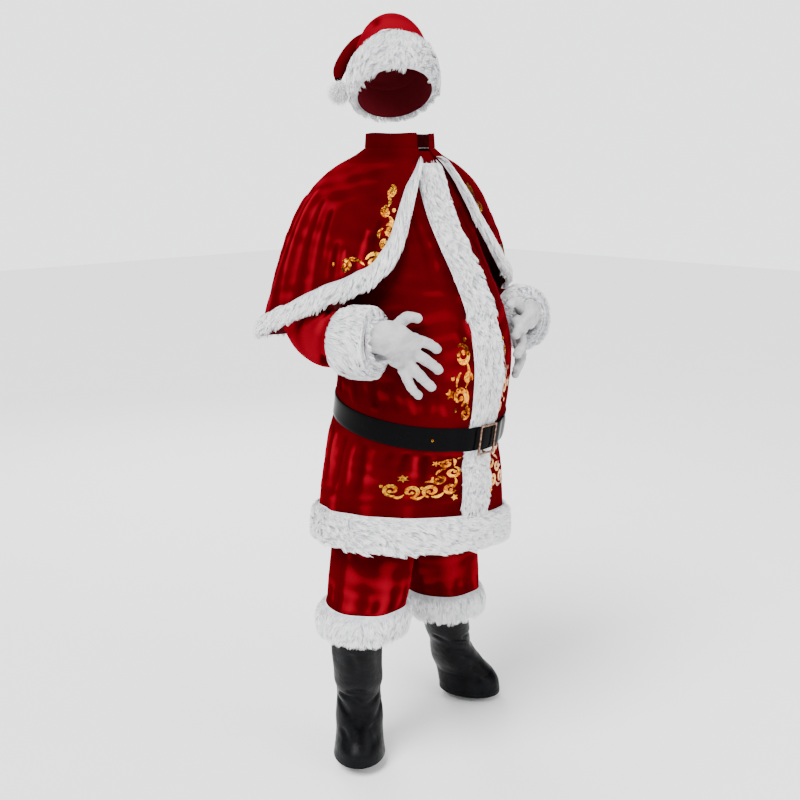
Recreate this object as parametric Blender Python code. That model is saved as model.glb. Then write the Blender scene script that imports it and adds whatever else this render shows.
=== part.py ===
"""Santa suit of velvet and fur: hat, cape, belted jacket, breeches, gloves and boot covers.

The suit keeps the hollow form that it has when it is worn. Metres, +Z up, the front
faces -Y and the wearer's right is -X. Heights in the tables are taken from the floor
that the wearer stands on. The origin lies on the shoulders, which carry the suit.
"""
import math

import bmesh
import bpy
import numpy as np
from mathutils import Matrix, Vector

HELD_HEIGHT = 1.44       # shoulders above the floor
VELVET = 0.0016          # wall of the velvet
SEAM_GAP = 0.0003        # between pieces at a seam
UNDER_FUR = 0.0008       # under the fur, where folds twist the faces of the cloth
KNIT = 0.0014            # wall of the gloves
LEATHERETTE = 0.0015     # wall of the boot covers

RED = (0.36, 0.006, 0.016)
WHITE = (0.86, 0.86, 0.87)
BLACK = (0.012, 0.012, 0.014)
BRONZE = (0.42, 0.34, 0.28)


# Tables and smooth curves

def table(columns, *rows):
    """A table with named columns; the first column is the one that the others follow."""
    values = np.array(rows, float)
    return {name: values[:, place] for place, name in enumerate(columns.split())}


def smooth_curve(keys, values, at):
    """A smooth curve through the rows of a table, level past its ends."""
    slopes = np.gradient(values, keys)
    at = np.clip(np.asarray(at, float), keys[0], keys[-1])
    low = np.clip(np.searchsorted(keys, at, side="right") - 1, 0, len(keys) - 2)
    step = keys[low + 1] - keys[low]
    part = (at - keys[low]) / step
    rise = values[low + 1] - values[low]
    start, end = slopes[low] * step, slopes[low + 1] * step
    return (values[low] + part * start
            + part ** 2 * (3 * rise - 2 * start - end)
            + part ** 3 * (start + end - 2 * rise))


def column(tab, name, at):
    """One column of a table as a smooth curve of the first column."""
    return smooth_curve(next(iter(tab.values())), tab[name], at)


def stack(*parts):
    """Coordinates joined into points."""
    return np.stack(np.broadcast_arrays(*parts), axis=-1)


def unit(vectors):
    return vectors / np.linalg.norm(vectors, axis=-1, keepdims=True)


def moved_out(form, across, along, out, step=0.004):
    """Points of a form, moved out along its normal."""
    point = form(across, along)
    over = form(across + step, along) - form(across - step, along)
    up = form(across, along + step) - form(across, along - step)
    return point + unit(np.cross(over, up)) * np.asarray(out)[..., None]


def ellipse(angle, square):
    """Sine and cosine of an angle, on a section that is squarer where square is over 2."""
    power = 2.0 / square
    sine, cosine = np.sin(angle), np.cos(angle)
    return (np.sign(sine) * np.abs(sine) ** power,
            np.sign(cosine) * np.abs(cosine) ** power)


def folds(tab, around, reach):
    """Height of soft upright folds that grow with reach, from 0 to 1."""
    total = 0.0
    for angle, depth, width in zip(tab["angle"], tab["depth"], tab["width"]):
        away = (around - math.radians(angle)) / math.radians(width)
        total = total + depth * np.exp(-away ** 2)
    return total * reach


# Meshes and objects

def collection(name):
    made = bpy.data.collections.new(name)
    bpy.context.scene.collection.children.link(made)
    return made


def material(name, colour, roughness, metallic=0.0):
    made = bpy.data.materials.new(name)
    made.use_nodes = True
    shader = made.node_tree.nodes["Principled BSDF"]
    shader.inputs["Base Color"].default_value = (*colour, 1.0)
    shader.inputs["Roughness"].default_value = roughness
    shader.inputs["Metallic"].default_value = metallic
    made.diffuse_color = (*colour, 1.0)
    return made


def add_object(name, points, faces, look, home):
    """A closed mesh as an object, its faces pointing out and shaded smooth."""
    shift = np.array((0.0, 0.0, HELD_HEIGHT))
    mesh = bpy.data.meshes.new(name)
    mesh.from_pydata([tuple(point) for point in points - shift], [], faces)
    work = bmesh.new()
    work.from_mesh(mesh)
    bmesh.ops.recalc_face_normals(work, faces=work.faces)
    if work.calc_volume(signed=True) < 0.0:
        bmesh.ops.reverse_faces(work, faces=work.faces)
    work.to_mesh(mesh)
    work.free()
    made = bpy.data.objects.new(name, mesh)
    home.objects.link(made)
    if look:
        colour, roughness, metallic = look
        mesh.materials.append(material(name, colour, roughness, metallic))
    mesh.shade_smooth()
    mesh.set_sharp_from_angle(angle=math.radians(40))
    return made


def grid_faces(rows, columns, start, ring):
    """Quads of a grid of points, closed across where it is a ring."""
    faces = []
    for row in range(rows - 1):
        for col in range(columns if ring else columns - 1):
            near, far = col, (col + 1) % columns
            low, high = start + row * columns, start + (row + 1) * columns
            faces.append((low + near, low + far, high + far, high + near))
    return faces


def wall(name, outer, inner, look, home, ring=False):
    """Cloth: a closed wall between an outer and an inner grid of points."""
    rows, columns = outer.shape[:2]
    count = rows * columns
    points = np.concatenate((outer.reshape(-1, 3), inner.reshape(-1, 3)))
    faces = grid_faces(rows, columns, 0, ring)
    faces += [face[::-1] for face in grid_faces(rows, columns, count, ring)]
    edges = [[row * columns + col for col in range(columns)] for row in (0, rows - 1)]
    if ring:
        edges = [edge + edge[:1] for edge in edges]
    else:
        edges += [[row * columns + col for row in range(rows)] for col in (0, columns - 1)]
    for edge in edges:
        for first, second in zip(edge, edge[1:]):
            faces.append((first, second, second + count, first + count))
    return add_object(name, points, faces, look, home)


def bar(name, sections, look, home, ring=False):
    """A fur band or strap: closed sections joined along it, with flat ends."""
    rows, columns = sections.shape[:2]
    faces = grid_faces(rows, columns, 0, True)
    last = (rows - 1) * columns
    if ring:
        faces += [(last + col, last + (col + 1) % columns, (col + 1) % columns, col)
                  for col in range(columns)]
    else:
        faces += [tuple(range(columns))[::-1], tuple(range(last, last + columns))]
    return add_object(name, sections.reshape(-1, 3), faces, look, home)


def seam_eased(grid, first=True, last=True):
    """A panel's grid with its side edges drawn back by half a seam gap."""
    eased = grid.copy()
    if first:
        eased[:, 0] += unit(grid[:, 1] - grid[:, 0]) * SEAM_GAP / 2
    if last:
        eased[:, -1] += unit(grid[:, -2] - grid[:, -1]) * SEAM_GAP / 2
    return eased


def mirrored(points):
    return points * np.array((-1.0, 1.0, 1.0))


def on_side(points, side):
    """Points worked out on the wearer's right, on either side."""
    return points if side == "right" else mirrored(points)


VELVET_LOOK = (RED, 0.75, 0.0)
FUR_LOOK = (WHITE, 0.95, 0.0)
KNIT_LOOK = ((0.88, 0.88, 0.88), 0.9, 0.0)


# The jacket: sections from the hem to the neck

JACKET = table(
    "height wide  deep   forward tilt  sway  square",
    (0.588, 0.233, 0.197, 0.044, -0.075, -0.12, 2.0),
    (0.672, 0.231, 0.197, 0.044, -0.075, -0.12, 2.0),
    (0.765, 0.222, 0.199, 0.045, -0.03, -0.05, 2.0),
    (0.846, 0.208, 0.197, 0.046, 0.09, 0.00, 2.0),
    (0.885, 0.201, 0.196, 0.058, 0.158, 0.00, 2.0),
    (0.950, 0.203, 0.195, 0.070, 0.158, 0.00, 2.0),
    (1.000, 0.208, 0.193, 0.079, 0.11, 0.00, 2.0),
    (1.060, 0.211, 0.192, 0.082, 0.05, 0.00, 2.0),
    (1.137, 0.203, 0.178, 0.077, 0.00, 0.00, 2.0),
    (1.238, 0.186, 0.153, 0.053, 0.00, 0.00, 2.0),
    (1.295, 0.182, 0.134, 0.034, 0.00, 0.00, 2.1),
    (1.360, 0.182, 0.116, 0.012, 0.00, 0.00, 2.5),
    (1.420, 0.182, 0.104, 0.000, 0.00, 0.00, 2.6),
    (1.455, 0.160, 0.094, 0.000, 0.00, 0.00, 2.4),
    (1.482, 0.122, 0.084, 0.000, 0.00, 0.00, 2.2),
    (1.503, 0.0885, 0.0765, 0.000, 0.00, 0.00, 2.0),
)
SKIRT_FOLDS = table(
    "angle depth  width",
    (-158, 0.007, 11), (-126, 0.009, 10), (-96, 0.010, 9), (-70, 0.006, 8), (-44, 0.005, 8),
    (40, 0.005, 9), (66, 0.008, 9), (94, 0.009, 10), (124, 0.008, 10), (152, 0.008, 10),
    (180, 0.006, 11),
)
SKIRT_TOP = 0.86
JACKET_ROWS = (0.588, 0.630, 0.672, 0.740, 0.812, 0.878, 0.894, 0.921, 0.948, 0.962,
               1.010, 1.080, 1.155, 1.225, 1.285, 1.345, 1.400, 1.440, 1.476, 1.503)
PLACKET_HALF = 0.041
PLACKET_STEPS = 2        # columns from the centre front to the placket's edge
FRONT_STEPS = 9          # columns from there to the side seam
BACK_STEPS = 20


def jacket_form(angle, height):
    """The jacket's outer face; angle 0 is the centre front, plus is the wearer's left."""
    sine, cosine = ellipse(angle, column(JACKET, "square", height))
    reach = np.clip((SKIRT_TOP - height) / 0.20, 0.0, 1.2)
    fold = folds(SKIRT_FOLDS, angle, reach) + folds(SKIRT_FOLDS, angle - math.tau, reach)
    across = (column(JACKET, "wide", height) + fold) * sine
    forward = -column(JACKET, "forward", height) - (column(JACKET, "deep", height) + fold) * cosine
    slant = column(JACKET, "tilt", height) * forward + column(JACKET, "sway", height) * across
    return stack(across, forward, height + slant)


def placket_angle(height):
    share = PLACKET_HALF / column(JACKET, "wide", height)
    return np.arcsin(share ** (column(JACKET, "square", height) / 2))


def front_angles(heights, side=1.0):
    """Angles of a front's columns, the first ones shared with the placket."""
    edge = placket_angle(heights)[:, None]
    inner = np.linspace(0.0, 1.0, PLACKET_STEPS + 1)[:-1]
    outer = np.linspace(0.0, 1.0, FRONT_STEPS + 1)
    return side * np.concatenate((edge * inner, edge + (math.pi / 2 - edge) * outer), axis=1)


def jacket_grid(angles, heights, out):
    return moved_out(jacket_form, angles, heights[:, None] + 0.0 * angles,
                     np.full(angles.shape, out))


def add_armhole_cutter(name, side, home):
    """A plug through the jacket's side, a little smaller than the sleeve's seam."""
    turn = np.linspace(0.0, math.tau, 20, endpoint=False)
    ring = stack(0.0, ARMHOLE["back"] - (ARMHOLE["deep"] - 0.006) * np.sin(turn),
                 ARMHOLE["height"] - (ARMHOLE["tall"] - 0.006) * np.cos(turn))
    reach = np.array((-0.40, -0.10))[:, None, None] * np.array((1.0, 0.0, 0.0))
    cutter = bar(name, on_side(ring[None] + reach, side), None, home)
    cutter.hide_render = True
    cutter.display_type = "WIRE"
    return cutter


def cut(piece, cutter):
    """A Boolean cut that stays on the piece."""
    change = piece.modifiers.new("cut_" + cutter.name, "BOOLEAN")
    change.operation = "DIFFERENCE"
    change.object = cutter


def add_jacket(home, cutters):
    """Two fronts and a back; the sleeves' armholes are cut through their sides."""
    heights = np.array(JACKET_ROWS)
    half = math.pi / 2
    back = half + np.linspace(0.0, math.pi, BACK_STEPS + 1)
    panels = {
        "jacket_front_right": front_angles(heights, -1.0),
        "jacket_front_left": front_angles(heights),
        "jacket_back": np.tile(back, (len(heights), 1)),
    }
    made = {}
    for name, angles in panels.items():
        outer = seam_eased(jacket_grid(angles, heights, 0.0))
        inner = seam_eased(jacket_grid(angles, heights, -VELVET))
        made[name] = wall(name, outer, inner, VELVET_LOOK, home)
    for side in ("right", "left"):
        cutter = add_armhole_cutter("armhole_" + side, side, cutters)
        cut(made["jacket_front_" + side], cutter)
        cut(made["jacket_back"], cutter)


# The fur on the jacket: a band round the hem and a placket down the front

PLACKET = table(
    "height thick",
    (0.675, 0.010), (0.726, 0.015), (0.845, 0.012), (0.882, 0.005), (0.960, 0.005),
    (0.990, 0.013), (1.110, 0.016), (1.310, 0.016), (1.476, 0.009),
)
PLACKET_FOOT = 0.6795    # just above the hem band
BAND_THICK = 0.0175


def add_hem_band(home):
    """One band, butted at the centre front, made from the hem's own points."""
    heights = np.array(JACKET_ROWS[:3])
    right = front_angles(heights, -1.0)[:, ::-1]
    left = front_angles(heights)
    back = np.tile(math.pi / 2 + np.linspace(0.0, math.pi, BACK_STEPS + 1), (3, 1))
    angles = np.concatenate((left, back[:, 1:-1], right + math.tau), axis=1)
    profile = ((0, 0.0, UNDER_FUR), (1, 0.0, UNDER_FUR), (2, 0.0, UNDER_FUR), (2, 0.003, 0.007),
               (2, -0.012, 0.0150), (1, 0.0, BAND_THICK), (0, 0.012, 0.0155), (0, -0.004, 0.007))
    loops = [moved_out(jacket_form, angles[row], heights[row] + shift, np.full(angles.shape[1], out))
             for row, shift, out in profile]
    sections = np.stack(loops, axis=1)
    for end, away in ((0, 1), (-1, -1)):
        sections[end, :, 0] += away * SEAM_GAP
    bar("hem_band_fur", sections, FUR_LOOK, home)


def add_placket(home):
    """The fur strip that covers the meeting edges of the two fronts."""
    heights = np.array((PLACKET_FOOT,) + JACKET_ROWS[3:-1])
    columns = np.linspace(-1.0, 1.0, 2 * PLACKET_STEPS + 1)
    angles = placket_angle(heights)[:, None] * columns
    thick = column(PLACKET, "thick", heights)[:, None]
    rounded = np.array((0.35, 0.9, 1.0, 0.9, 0.35))
    level = heights[:, None] + 0.0 * angles
    under = moved_out(jacket_form, angles, level, np.full(angles.shape, UNDER_FUR))
    over = moved_out(jacket_form, angles, level, thick * rounded)
    bar("placket_fur", np.concatenate((under, over[:, ::-1]), axis=1), FUR_LOOK, home)


# The belt and its buckle

BELT_ROWS = (0.894, 0.921, 0.948)
STRAP = 0.0024
STRAP_LIFT = 0.0060      # over the placket
BAR_REACH = math.radians(1.6)
TIP_REACH = math.radians(31)


def strap_base(angle):
    """How far out the strap's inner face lies: on the cloth, or over the placket."""
    edge = math.degrees(1.0) * np.abs(angle)
    return SEAM_GAP + (STRAP_LIFT - SEAM_GAP) * np.clip((21.0 - edge) / 7.0, 0.0, 1.0)


def add_belt(home):
    """A strap once round the waist; its end passes the buckle and lies on its start."""
    heights = np.array(BELT_ROWS)
    columns = front_angles(heights[1:2])[0]
    start = [BAR_REACH] + [angle for angle in columns if angle > 2 * BAR_REACH]
    back = list(math.pi / 2 + np.linspace(0.0, math.pi, BACK_STEPS + 1)[1:-1])
    right = [math.tau - angle for angle in columns[::-1] if angle > 2 * BAR_REACH]
    crossing = [math.tau - BAR_REACH * 1.8, math.tau, math.tau + BAR_REACH * 1.8]
    tip = [math.tau + angle for angle in columns if 2 * BAR_REACH < angle < TIP_REACH]
    angles = np.array(start + back + right + crossing + tip + [math.tau + TIP_REACH])
    near = np.mod(angles + math.pi, math.tau) - math.pi
    second = STRAP + 0.0010
    out = strap_base(near) + second * np.clip((angles - math.tau) / BAR_REACH + 2.8, 0.0, 1.0)
    narrow = np.where(angles > math.tau + TIP_REACH - 0.01, 0.55, 1.0)
    loops = []
    for row, thick in ((0, 0.0), (1, 0.0), (2, 0.0), (2, STRAP), (1, STRAP), (0, STRAP)):
        level = heights[1] + (heights[row] - heights[1]) * narrow
        loops.append(moved_out(jacket_form, angles, level, out + thick))
    bar("belt_strap", np.stack(loops, axis=1), (BLACK, 0.12, 0.0), home)


BUCKLE = {"wide": 0.052, "tall": 0.070, "bar": 0.0036, "front": 0.0172, "under": 0.0062}


def add_box(work, low, high):
    """A box between two corners."""
    size = [top - bottom for bottom, top in zip(low, high)]
    middle = [(top + bottom) / 2 for bottom, top in zip(low, high)]
    bmesh.ops.create_cube(work, size=1.0, matrix=Matrix.Translation(middle) @ Matrix.Diagonal((*size, 1.0)))


def box_object(name, low, high, home):
    work = bmesh.new()
    add_box(work, low, high)
    mesh = bpy.data.meshes.new(name)
    work.to_mesh(mesh)
    work.free()
    made = bpy.data.objects.new(name, mesh)
    home.objects.link(made)
    return made


def add_buckle(home, cutters):
    """An open frame with a centre bar behind the strap, leaning with the belly."""
    wide, tall, thick = BUCKLE["wide"] / 2, BUCKLE["tall"] / 2, BUCKLE["bar"]
    front, under = BUCKLE["front"], BUCKLE["under"]
    frame = box_object("buckle", (-wide, front - thick, -tall), (wide, front, tall), home)
    window = box_object("buckle_window", (thick - wide, 0.0, thick - tall),
                        (wide - thick, front + 0.01, tall - thick), cutters)
    centre = thick / 2
    posts = box_object("buckle_posts", (-centre, under, 0.3 * thick - tall),
                       (centre, front - thick / 2, tall - 0.3 * thick), cutters)
    slot = box_object("buckle_slot", (-wide, under + 0.0018, 1.35 * thick - tall),
                      (wide, front + 0.01, tall - 1.35 * thick), cutters)
    cut(frame, window)
    cut(posts, slot)
    join = frame.modifiers.new("centre_bar", "BOOLEAN")
    join.operation = "UNION"
    join.object = posts
    for helper in (window, posts, slot):
        helper.hide_render = True
        helper.display_type = "WIRE"
    middle = np.array(((0.0,),)), np.array(((BELT_ROWS[1],),))
    seat = moved_out(jacket_form, *middle, np.zeros((1, 1)))[0, 0]
    out = unit(moved_out(jacket_form, *middle, np.ones((1, 1)))[0, 0] - seat)
    seat = seat - np.array((0.0, 0.0, HELD_HEIGHT))
    facing = Vector(out)
    right = Vector((-1.0, 0.0, 0.0))
    up = right.cross(facing)
    turn = Matrix((right, facing, up)).transposed().to_4x4()
    placed = Matrix.Translation(Vector(seat)) @ turn
    for piece in (frame, window, posts, slot):
        piece.matrix_world = placed
    colour = material("buckle", BRONZE, 0.3, 1.0)
    frame.data.materials.append(colour)


# The sleeves, set into the armholes and bent at the elbow, with fur cuffs

ARMHOLE = {"back": 0.002, "height": 1.342, "deep": 0.066, "tall": 0.078, "clear": 0.0022}
SLEEVE = table(
    "along out_x   back_y  height  thin    broad",
    (0.00, -0.200, 0.002, 1.340, 0.058, 0.068),
    (0.14, -0.238, 0.006, 1.318, 0.049, 0.068),
    (0.28, -0.255, 0.018, 1.262, 0.043, 0.070),
    (0.42, -0.263, 0.026, 1.205, 0.045, 0.071),
    (0.54, -0.267, 0.018, 1.156, 0.048, 0.070),
    (0.64, -0.273, -0.014, 1.122, 0.049, 0.067),
    (0.76, -0.280, -0.068, 1.111, 0.048, 0.062),
    (0.88, -0.276, -0.126, 1.110, 0.047, 0.059),
    (1.00, -0.252, -0.180, 1.112, 0.049, 0.057),
)
SLEEVE_ROWS = (0.0, 0.10, 0.21, 0.33, 0.44, 0.54, 0.63, 0.74, 0.845, 0.922, 1.0)
SLEEVE_SIDES = 16
SLEEVE_FOLDS = table(
    "along turn  depth   width",
    (0.40, 40, -0.0040, 0.045), (0.53, 20, -0.0060, 0.04), (0.66, 30, -0.0045, 0.04),
    (0.58, 200, 0.0030, 0.06), (0.74, 250, 0.0030, 0.05),
)
SET_IN = 0.24            # part of the length over which the sleeve leaves its armhole


def sleeve_swell(turn, along):
    """The sleeve's largest folds, at and below the elbow."""
    total = 0.0 * turn
    for place, centre, depth, width in zip(*SLEEVE_FOLDS.values()):
        facing = (1 + np.cos(turn - math.radians(centre))) / 2
        total = total + depth * facing ** 2 * np.exp(-((along - place) / width) ** 2)
    return total


def tube_frame(path, along, reference):
    """Centre and two cross directions of a bent tube."""
    centre = path(along)
    tangent = unit(path(along + 0.01) - path(along - 0.01))
    first = unit(reference - np.sum(reference * tangent, axis=-1, keepdims=True) * tangent)
    return centre, first, np.cross(tangent, first)


def sleeve_path(along):
    ahead = np.clip(along, 0.0, 1.0)
    beyond = (along - ahead)[..., None]
    centre = stack(column(SLEEVE, "out_x", ahead), column(SLEEVE, "back_y", ahead),
                   column(SLEEVE, "height", ahead))
    ends = np.where(along[..., None] < 0.5, np.array((-0.27, 0.04, -0.23)), np.array((0.08, -0.46, 0.02)))
    return centre + beyond * ends


def jacket_side(back, height):
    """How far out the jacket's side lies, straight between the rows of its wall."""
    rows = np.array(JACKET_ROWS)
    low = np.clip(np.searchsorted(rows, height) - 1, 0, len(rows) - 2)
    reach = []
    for level in (rows[low], rows[low + 1]):
        square = column(JACKET, "square", level)
        share = np.abs((back + column(JACKET, "forward", level)) / column(JACKET, "deep", level))
        side = (1.0 - np.minimum(share, 1.0) ** square) ** (1.0 / square)
        reach.append(column(JACKET, "wide", level) * side)
    part = (height - rows[low]) / (rows[low + 1] - rows[low])
    return reach[0] * (1.0 - part) + reach[1] * part


def armhole_ring(turn, out):
    """The seam on the jacket's side, moved just clear of the jacket."""
    back = ARMHOLE["back"] - (ARMHOLE["deep"] + out) * np.sin(turn)
    height = ARMHOLE["height"] - (ARMHOLE["tall"] + out) * np.cos(turn)
    return stack(-jacket_side(back, height) - ARMHOLE["clear"], back, height)


def sleeve_form(turn, along, out=0.0):
    """The right sleeve; turn 0 is the side towards the body, a quarter turn the front."""
    centre, inward, forward = tube_frame(sleeve_path, along, np.array((1.0, 0.0, 0.0)))
    swell = sleeve_swell(turn, along) + out
    thin = (column(SLEEVE, "thin", along) + swell)[..., None]
    broad = (column(SLEEVE, "broad", along) + swell)[..., None]
    tube = centre + inward * thin * np.cos(turn)[..., None] + forward * broad * np.sin(turn)[..., None]
    part = np.clip(along / SET_IN, 0.0, 1.0)[..., None]
    blend = part ** 2 * (3 - 2 * part)
    return armhole_ring(turn, out) * (1 - blend) + tube * blend


def add_sleeve(side, home):
    turn, along = np.meshgrid(np.linspace(0.0, math.tau, SLEEVE_SIDES, endpoint=False), SLEEVE_ROWS)
    outer = on_side(sleeve_form(turn, along), side)
    inner = on_side(sleeve_form(turn, along, -VELVET), side)
    wall("sleeve_" + side, outer, inner, VELVET_LOOK, home, ring=True)


def add_sleeve_cuff(side, home):
    """Fur round the sleeve's end, made from the sleeve's own points."""
    turn = np.linspace(0.0, math.tau, SLEEVE_SIDES, endpoint=False)
    first, middle, end = SLEEVE_ROWS[-3:]
    profile = ((first, UNDER_FUR), (middle, UNDER_FUR), (end, UNDER_FUR), (1.002, 0.008),
               (0.982, 0.0155), (middle, 0.0175), (0.86, 0.0155), (0.833, 0.008))
    loops = [sleeve_form(turn, np.full(turn.shape, along), out) for along, out in profile]
    bar("sleeve_cuff_fur_" + side, on_side(np.stack(loops, axis=1), side), FUR_LOOK, home, ring=True)


# The gloves: knitted hands that lie on the belly, open at the wrist

PALM = table(
    "step angle  height  off    broad  thin",
    (0.0, 79.0, 1.112, 0.068, 0.033, 0.029),
    (1.0, 67.0, 1.113, 0.071, 0.035, 0.026),
    (2.0, 60.5, 1.110, 0.062, 0.040, 0.022),
    (3.0, 57.2, 1.099, 0.039, 0.0455, 0.0175),
    (4.0, 53.0, 1.087, 0.0240, 0.045, 0.0145),
    (4.5, 50.5, 1.081, 0.0190, 0.039, 0.0105),
)
FINGERS = table(
    "digit angle height off   bend_angle bend_height bend_off tip_angle tip_height root  tip",
    (0, 60.5, 1.126, 0.046, 52.0, 1.150, 0.029, 43.5, 1.149, 0.0150, 0.0102),
    (1, 54.0, 1.115, 0.022, 42.5, 1.104, 0.0240, 34.5, 1.089, 0.0132, 0.0103),
    (2, 55.0, 1.096, 0.021, 43.0, 1.074, 0.0250, 34.3, 1.053, 0.0134, 0.0104),
    (3, 55.5, 1.077, 0.022, 46.0, 1.046, 0.0240, 38.5, 1.023, 0.0130, 0.0100),
    (4, 56.5, 1.060, 0.024, 51.5, 1.027, 0.0210, 46.0, 1.007, 0.0116, 0.0090),
)
FINGER_SIDES = 6
PALM_SIDES = 12


def on_belly(angle, height, off):
    """Points off the jacket's right front, by angle in degrees, height and distance."""
    angle, height, off = np.broadcast_arrays(-np.radians(angle), height, off)
    return moved_out(jacket_form, angle, height, off)


def tube_along(points, radii, sides, flat=None):
    """A closed tube through points; flat gives its half thickness where it is oval."""
    tangent = unit(np.gradient(points, axis=0))
    outward = unit((points - np.array((0.0, -0.08, 0.0))) * np.array((1.0, 1.0, 0.0)))
    thin = unit(outward - np.sum(outward * tangent, axis=-1, keepdims=True) * tangent)
    broad = np.cross(tangent, thin)
    turn = np.linspace(0.0, math.tau, sides, endpoint=False)
    flat = radii if flat is None else flat
    return (points[:, None] + broad[:, None] * (radii[:, None] * np.cos(turn))[..., None]
            + thin[:, None] * (flat[:, None] * np.sin(turn))[..., None])


def finger_tube(digit, less):
    """One finger or the thumb with a round end; less makes it smaller all round."""
    row = {name: values[digit] for name, values in FINGERS.items()}
    keys = np.array((0.0, 0.5, 1.0))
    steps = np.array((0.0, 0.35, 0.65, 0.88, 1.0))
    angle = smooth_curve(keys, np.array((row["angle"], row["bend_angle"], row["tip_angle"])), steps)
    height = smooth_curve(keys, np.array((row["height"], row["bend_height"], row["tip_height"])), steps)
    rest = 0.0005
    off = smooth_curve(keys, np.array((row["off"], row["bend_off"], row["tip"] + rest)), steps)
    radius = row["root"] + (row["tip"] - row["root"]) * steps
    points = on_belly(angle, height, off)
    ends = np.array((1.0, 1.0, 1.0, 0.9, 0.4))
    radius = radius * ends - less * np.minimum(1.0, ends + 0.1)
    points = points - np.outer(steps ** 8, unit(points[-1] - points[-2])) * less
    return tube_along(points, radius, FINGER_SIDES)


def palm_tube(less):
    keys = PALM["step"]
    steps = keys if less == 0.0 else np.concatenate(((-0.4,), keys[1:]))
    ahead = np.clip(steps, 0.0, None)
    points = on_belly(column(PALM, "angle", ahead), column(PALM, "height", ahead), column(PALM, "off", ahead))
    points[0] += (points[0] - points[1]) * (ahead[0] - steps[0])
    end = np.where(steps >= keys[-1], less, 0.0)[:, None]
    points = points + end * unit(points[-2] - points[-1])
    return tube_along(points, column(PALM, "broad", ahead) - less, PALM_SIDES,
                      column(PALM, "thin", ahead) - less)


def add_gloves(home, cutters):
    """Palm and fingers joined outside, with the same, one wall smaller, taken out."""
    shapes = {}
    for label, less in (("glove_right", 0.0), ("glove_inside", KNIT)):
        palm = bar(label, palm_tube(less), None if less else KNIT_LOOK, cutters if less else home)
        for digit in range(5):
            finger = bar(f"{label}_digit_{digit}", finger_tube(digit, less), None, cutters)
            join = palm.modifiers.new(f"digit_{digit}", "BOOLEAN")
            join.operation = "UNION"
            join.object = finger
            finger.hide_render = True
            finger.display_type = "WIRE"
        shapes[label] = palm
    inside = shapes["glove_inside"]
    inside.hide_render = True
    inside.display_type = "WIRE"
    cut(shapes["glove_right"], inside)
    state = bpy.context.evaluated_depsgraph_get()
    mesh = bpy.data.meshes.new_from_object(shapes["glove_right"].evaluated_get(state))
    mesh.transform(Matrix.Diagonal((-1.0, 1.0, 1.0, 1.0)))
    mesh.flip_normals()
    home.objects.link(bpy.data.objects.new("glove_left", mesh))


# The cape: sections over the shoulders and arms, cut to a round front corner

CAPE = table(
    "height wide  deep   back   square",
    (1.040, 0.336, 0.194, 0.036, 2.4),
    (1.100, 0.330, 0.186, 0.034, 2.4),
    (1.180, 0.323, 0.177, 0.024, 2.4),
    (1.270, 0.305, 0.164, 0.010, 2.4),
    (1.340, 0.278, 0.147, 0.010, 2.4),
    (1.400, 0.246, 0.129, 0.008, 2.4),
    (1.445, 0.200, 0.115, 0.006, 2.4),
    (1.475, 0.150, 0.102, 0.004, 2.3),
    (1.495, 0.106, 0.088, 0.002, 2.1),
    (1.510, 0.083, 0.077, 0.000, 2.0),
)
CAPE_EDGE = table(
    "angle height",
    (12, 1.468), (16, 1.400), (21, 1.335), (27, 1.278), (35, 1.236), (47, 1.208), (64, 1.182),
    (84, 1.145), (104, 1.110), (128, 1.090), (155, 1.077), (180, 1.073),
)
CAPE_FOLDS = table(
    "angle depth   width",
    (44, 0.006, 5), (60, 0.008, 6), (75, 0.010, 6), (90, 0.008, 6), (106, 0.012, 7), (123, 0.010, 6),
    (141, 0.012, 7), (160, 0.010, 6), (180, 0.009, 7),
)
CAPE_NECK = 1.510
CAPE_COLUMNS = 25
CAPE_ROWS = 8
TRIM_WIDE = 0.042
TRIM_THICK = 0.0155
COLLAR_TALL = 0.032


def cape_form(angle, height):
    """The right half of the cape; angle 0 is the centre front."""
    sine, cosine = ellipse(angle, column(CAPE, "square", height))
    fold = folds(CAPE_FOLDS, angle, np.clip((1.40 - height) / 0.28, 0.0, 1.1) ** 1.4)
    across = -(column(CAPE, "wide", height) + fold) * sine
    back = column(CAPE, "back", height) - (column(CAPE, "deep", height) + fold) * cosine
    return stack(across, back, height)


def cape_out(angle, height, out):
    return moved_out(lambda over, up: cape_form(-over, up), -angle, height, out)


def cape_edges(angles):
    """Heights of the cape's edge and of the fur's inner border, an even width from it."""
    edge = column(CAPE_EDGE, "height", np.degrees(angles))
    plan = cape_form(angles, edge)[:, :2]
    length = np.concatenate(((0.0,), np.cumsum(np.linalg.norm(np.diff(plan, axis=0), axis=1))))
    slope = np.gradient(edge, length)
    border = edge + TRIM_WIDE * np.sqrt(1.0 + slope ** 2)
    return edge, np.minimum(border, (edge + CAPE_NECK) / 2)


def cape_heights(angles, rows):
    """Rows from the neck, closer together there, with the last three under the fur."""
    edge, border = cape_edges(angles)
    drop = np.linspace(0.0, 1.0, rows - 2)[:, None] ** 1.7
    above = CAPE_NECK + (border - CAPE_NECK) * drop
    return np.concatenate((above, [(edge + border) / 2, edge]))


def cape_grid(angles, rows, out):
    heights = cape_heights(angles, rows)
    return cape_out(angles + 0.0 * heights, heights, np.full(heights.shape, out))


def cape_angles(columns):
    """From the front edge to the centre back, closer where the edge turns."""
    spread = np.linspace(0.0, 1.0, columns) ** 1.25
    return np.radians(12.0) + (math.pi - np.radians(12.0)) * spread


def add_cape(side, home):
    """Half of the cape, with a seam down the centre back."""
    angles = cape_angles(CAPE_COLUMNS)
    outer = seam_eased(cape_grid(angles, CAPE_ROWS, 0.0), first=False)
    inner = seam_eased(cape_grid(angles, CAPE_ROWS, -VELVET), first=False)
    wall("cape_" + side, on_side(outer, side), on_side(inner, side), VELVET_LOOK, home)


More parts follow.
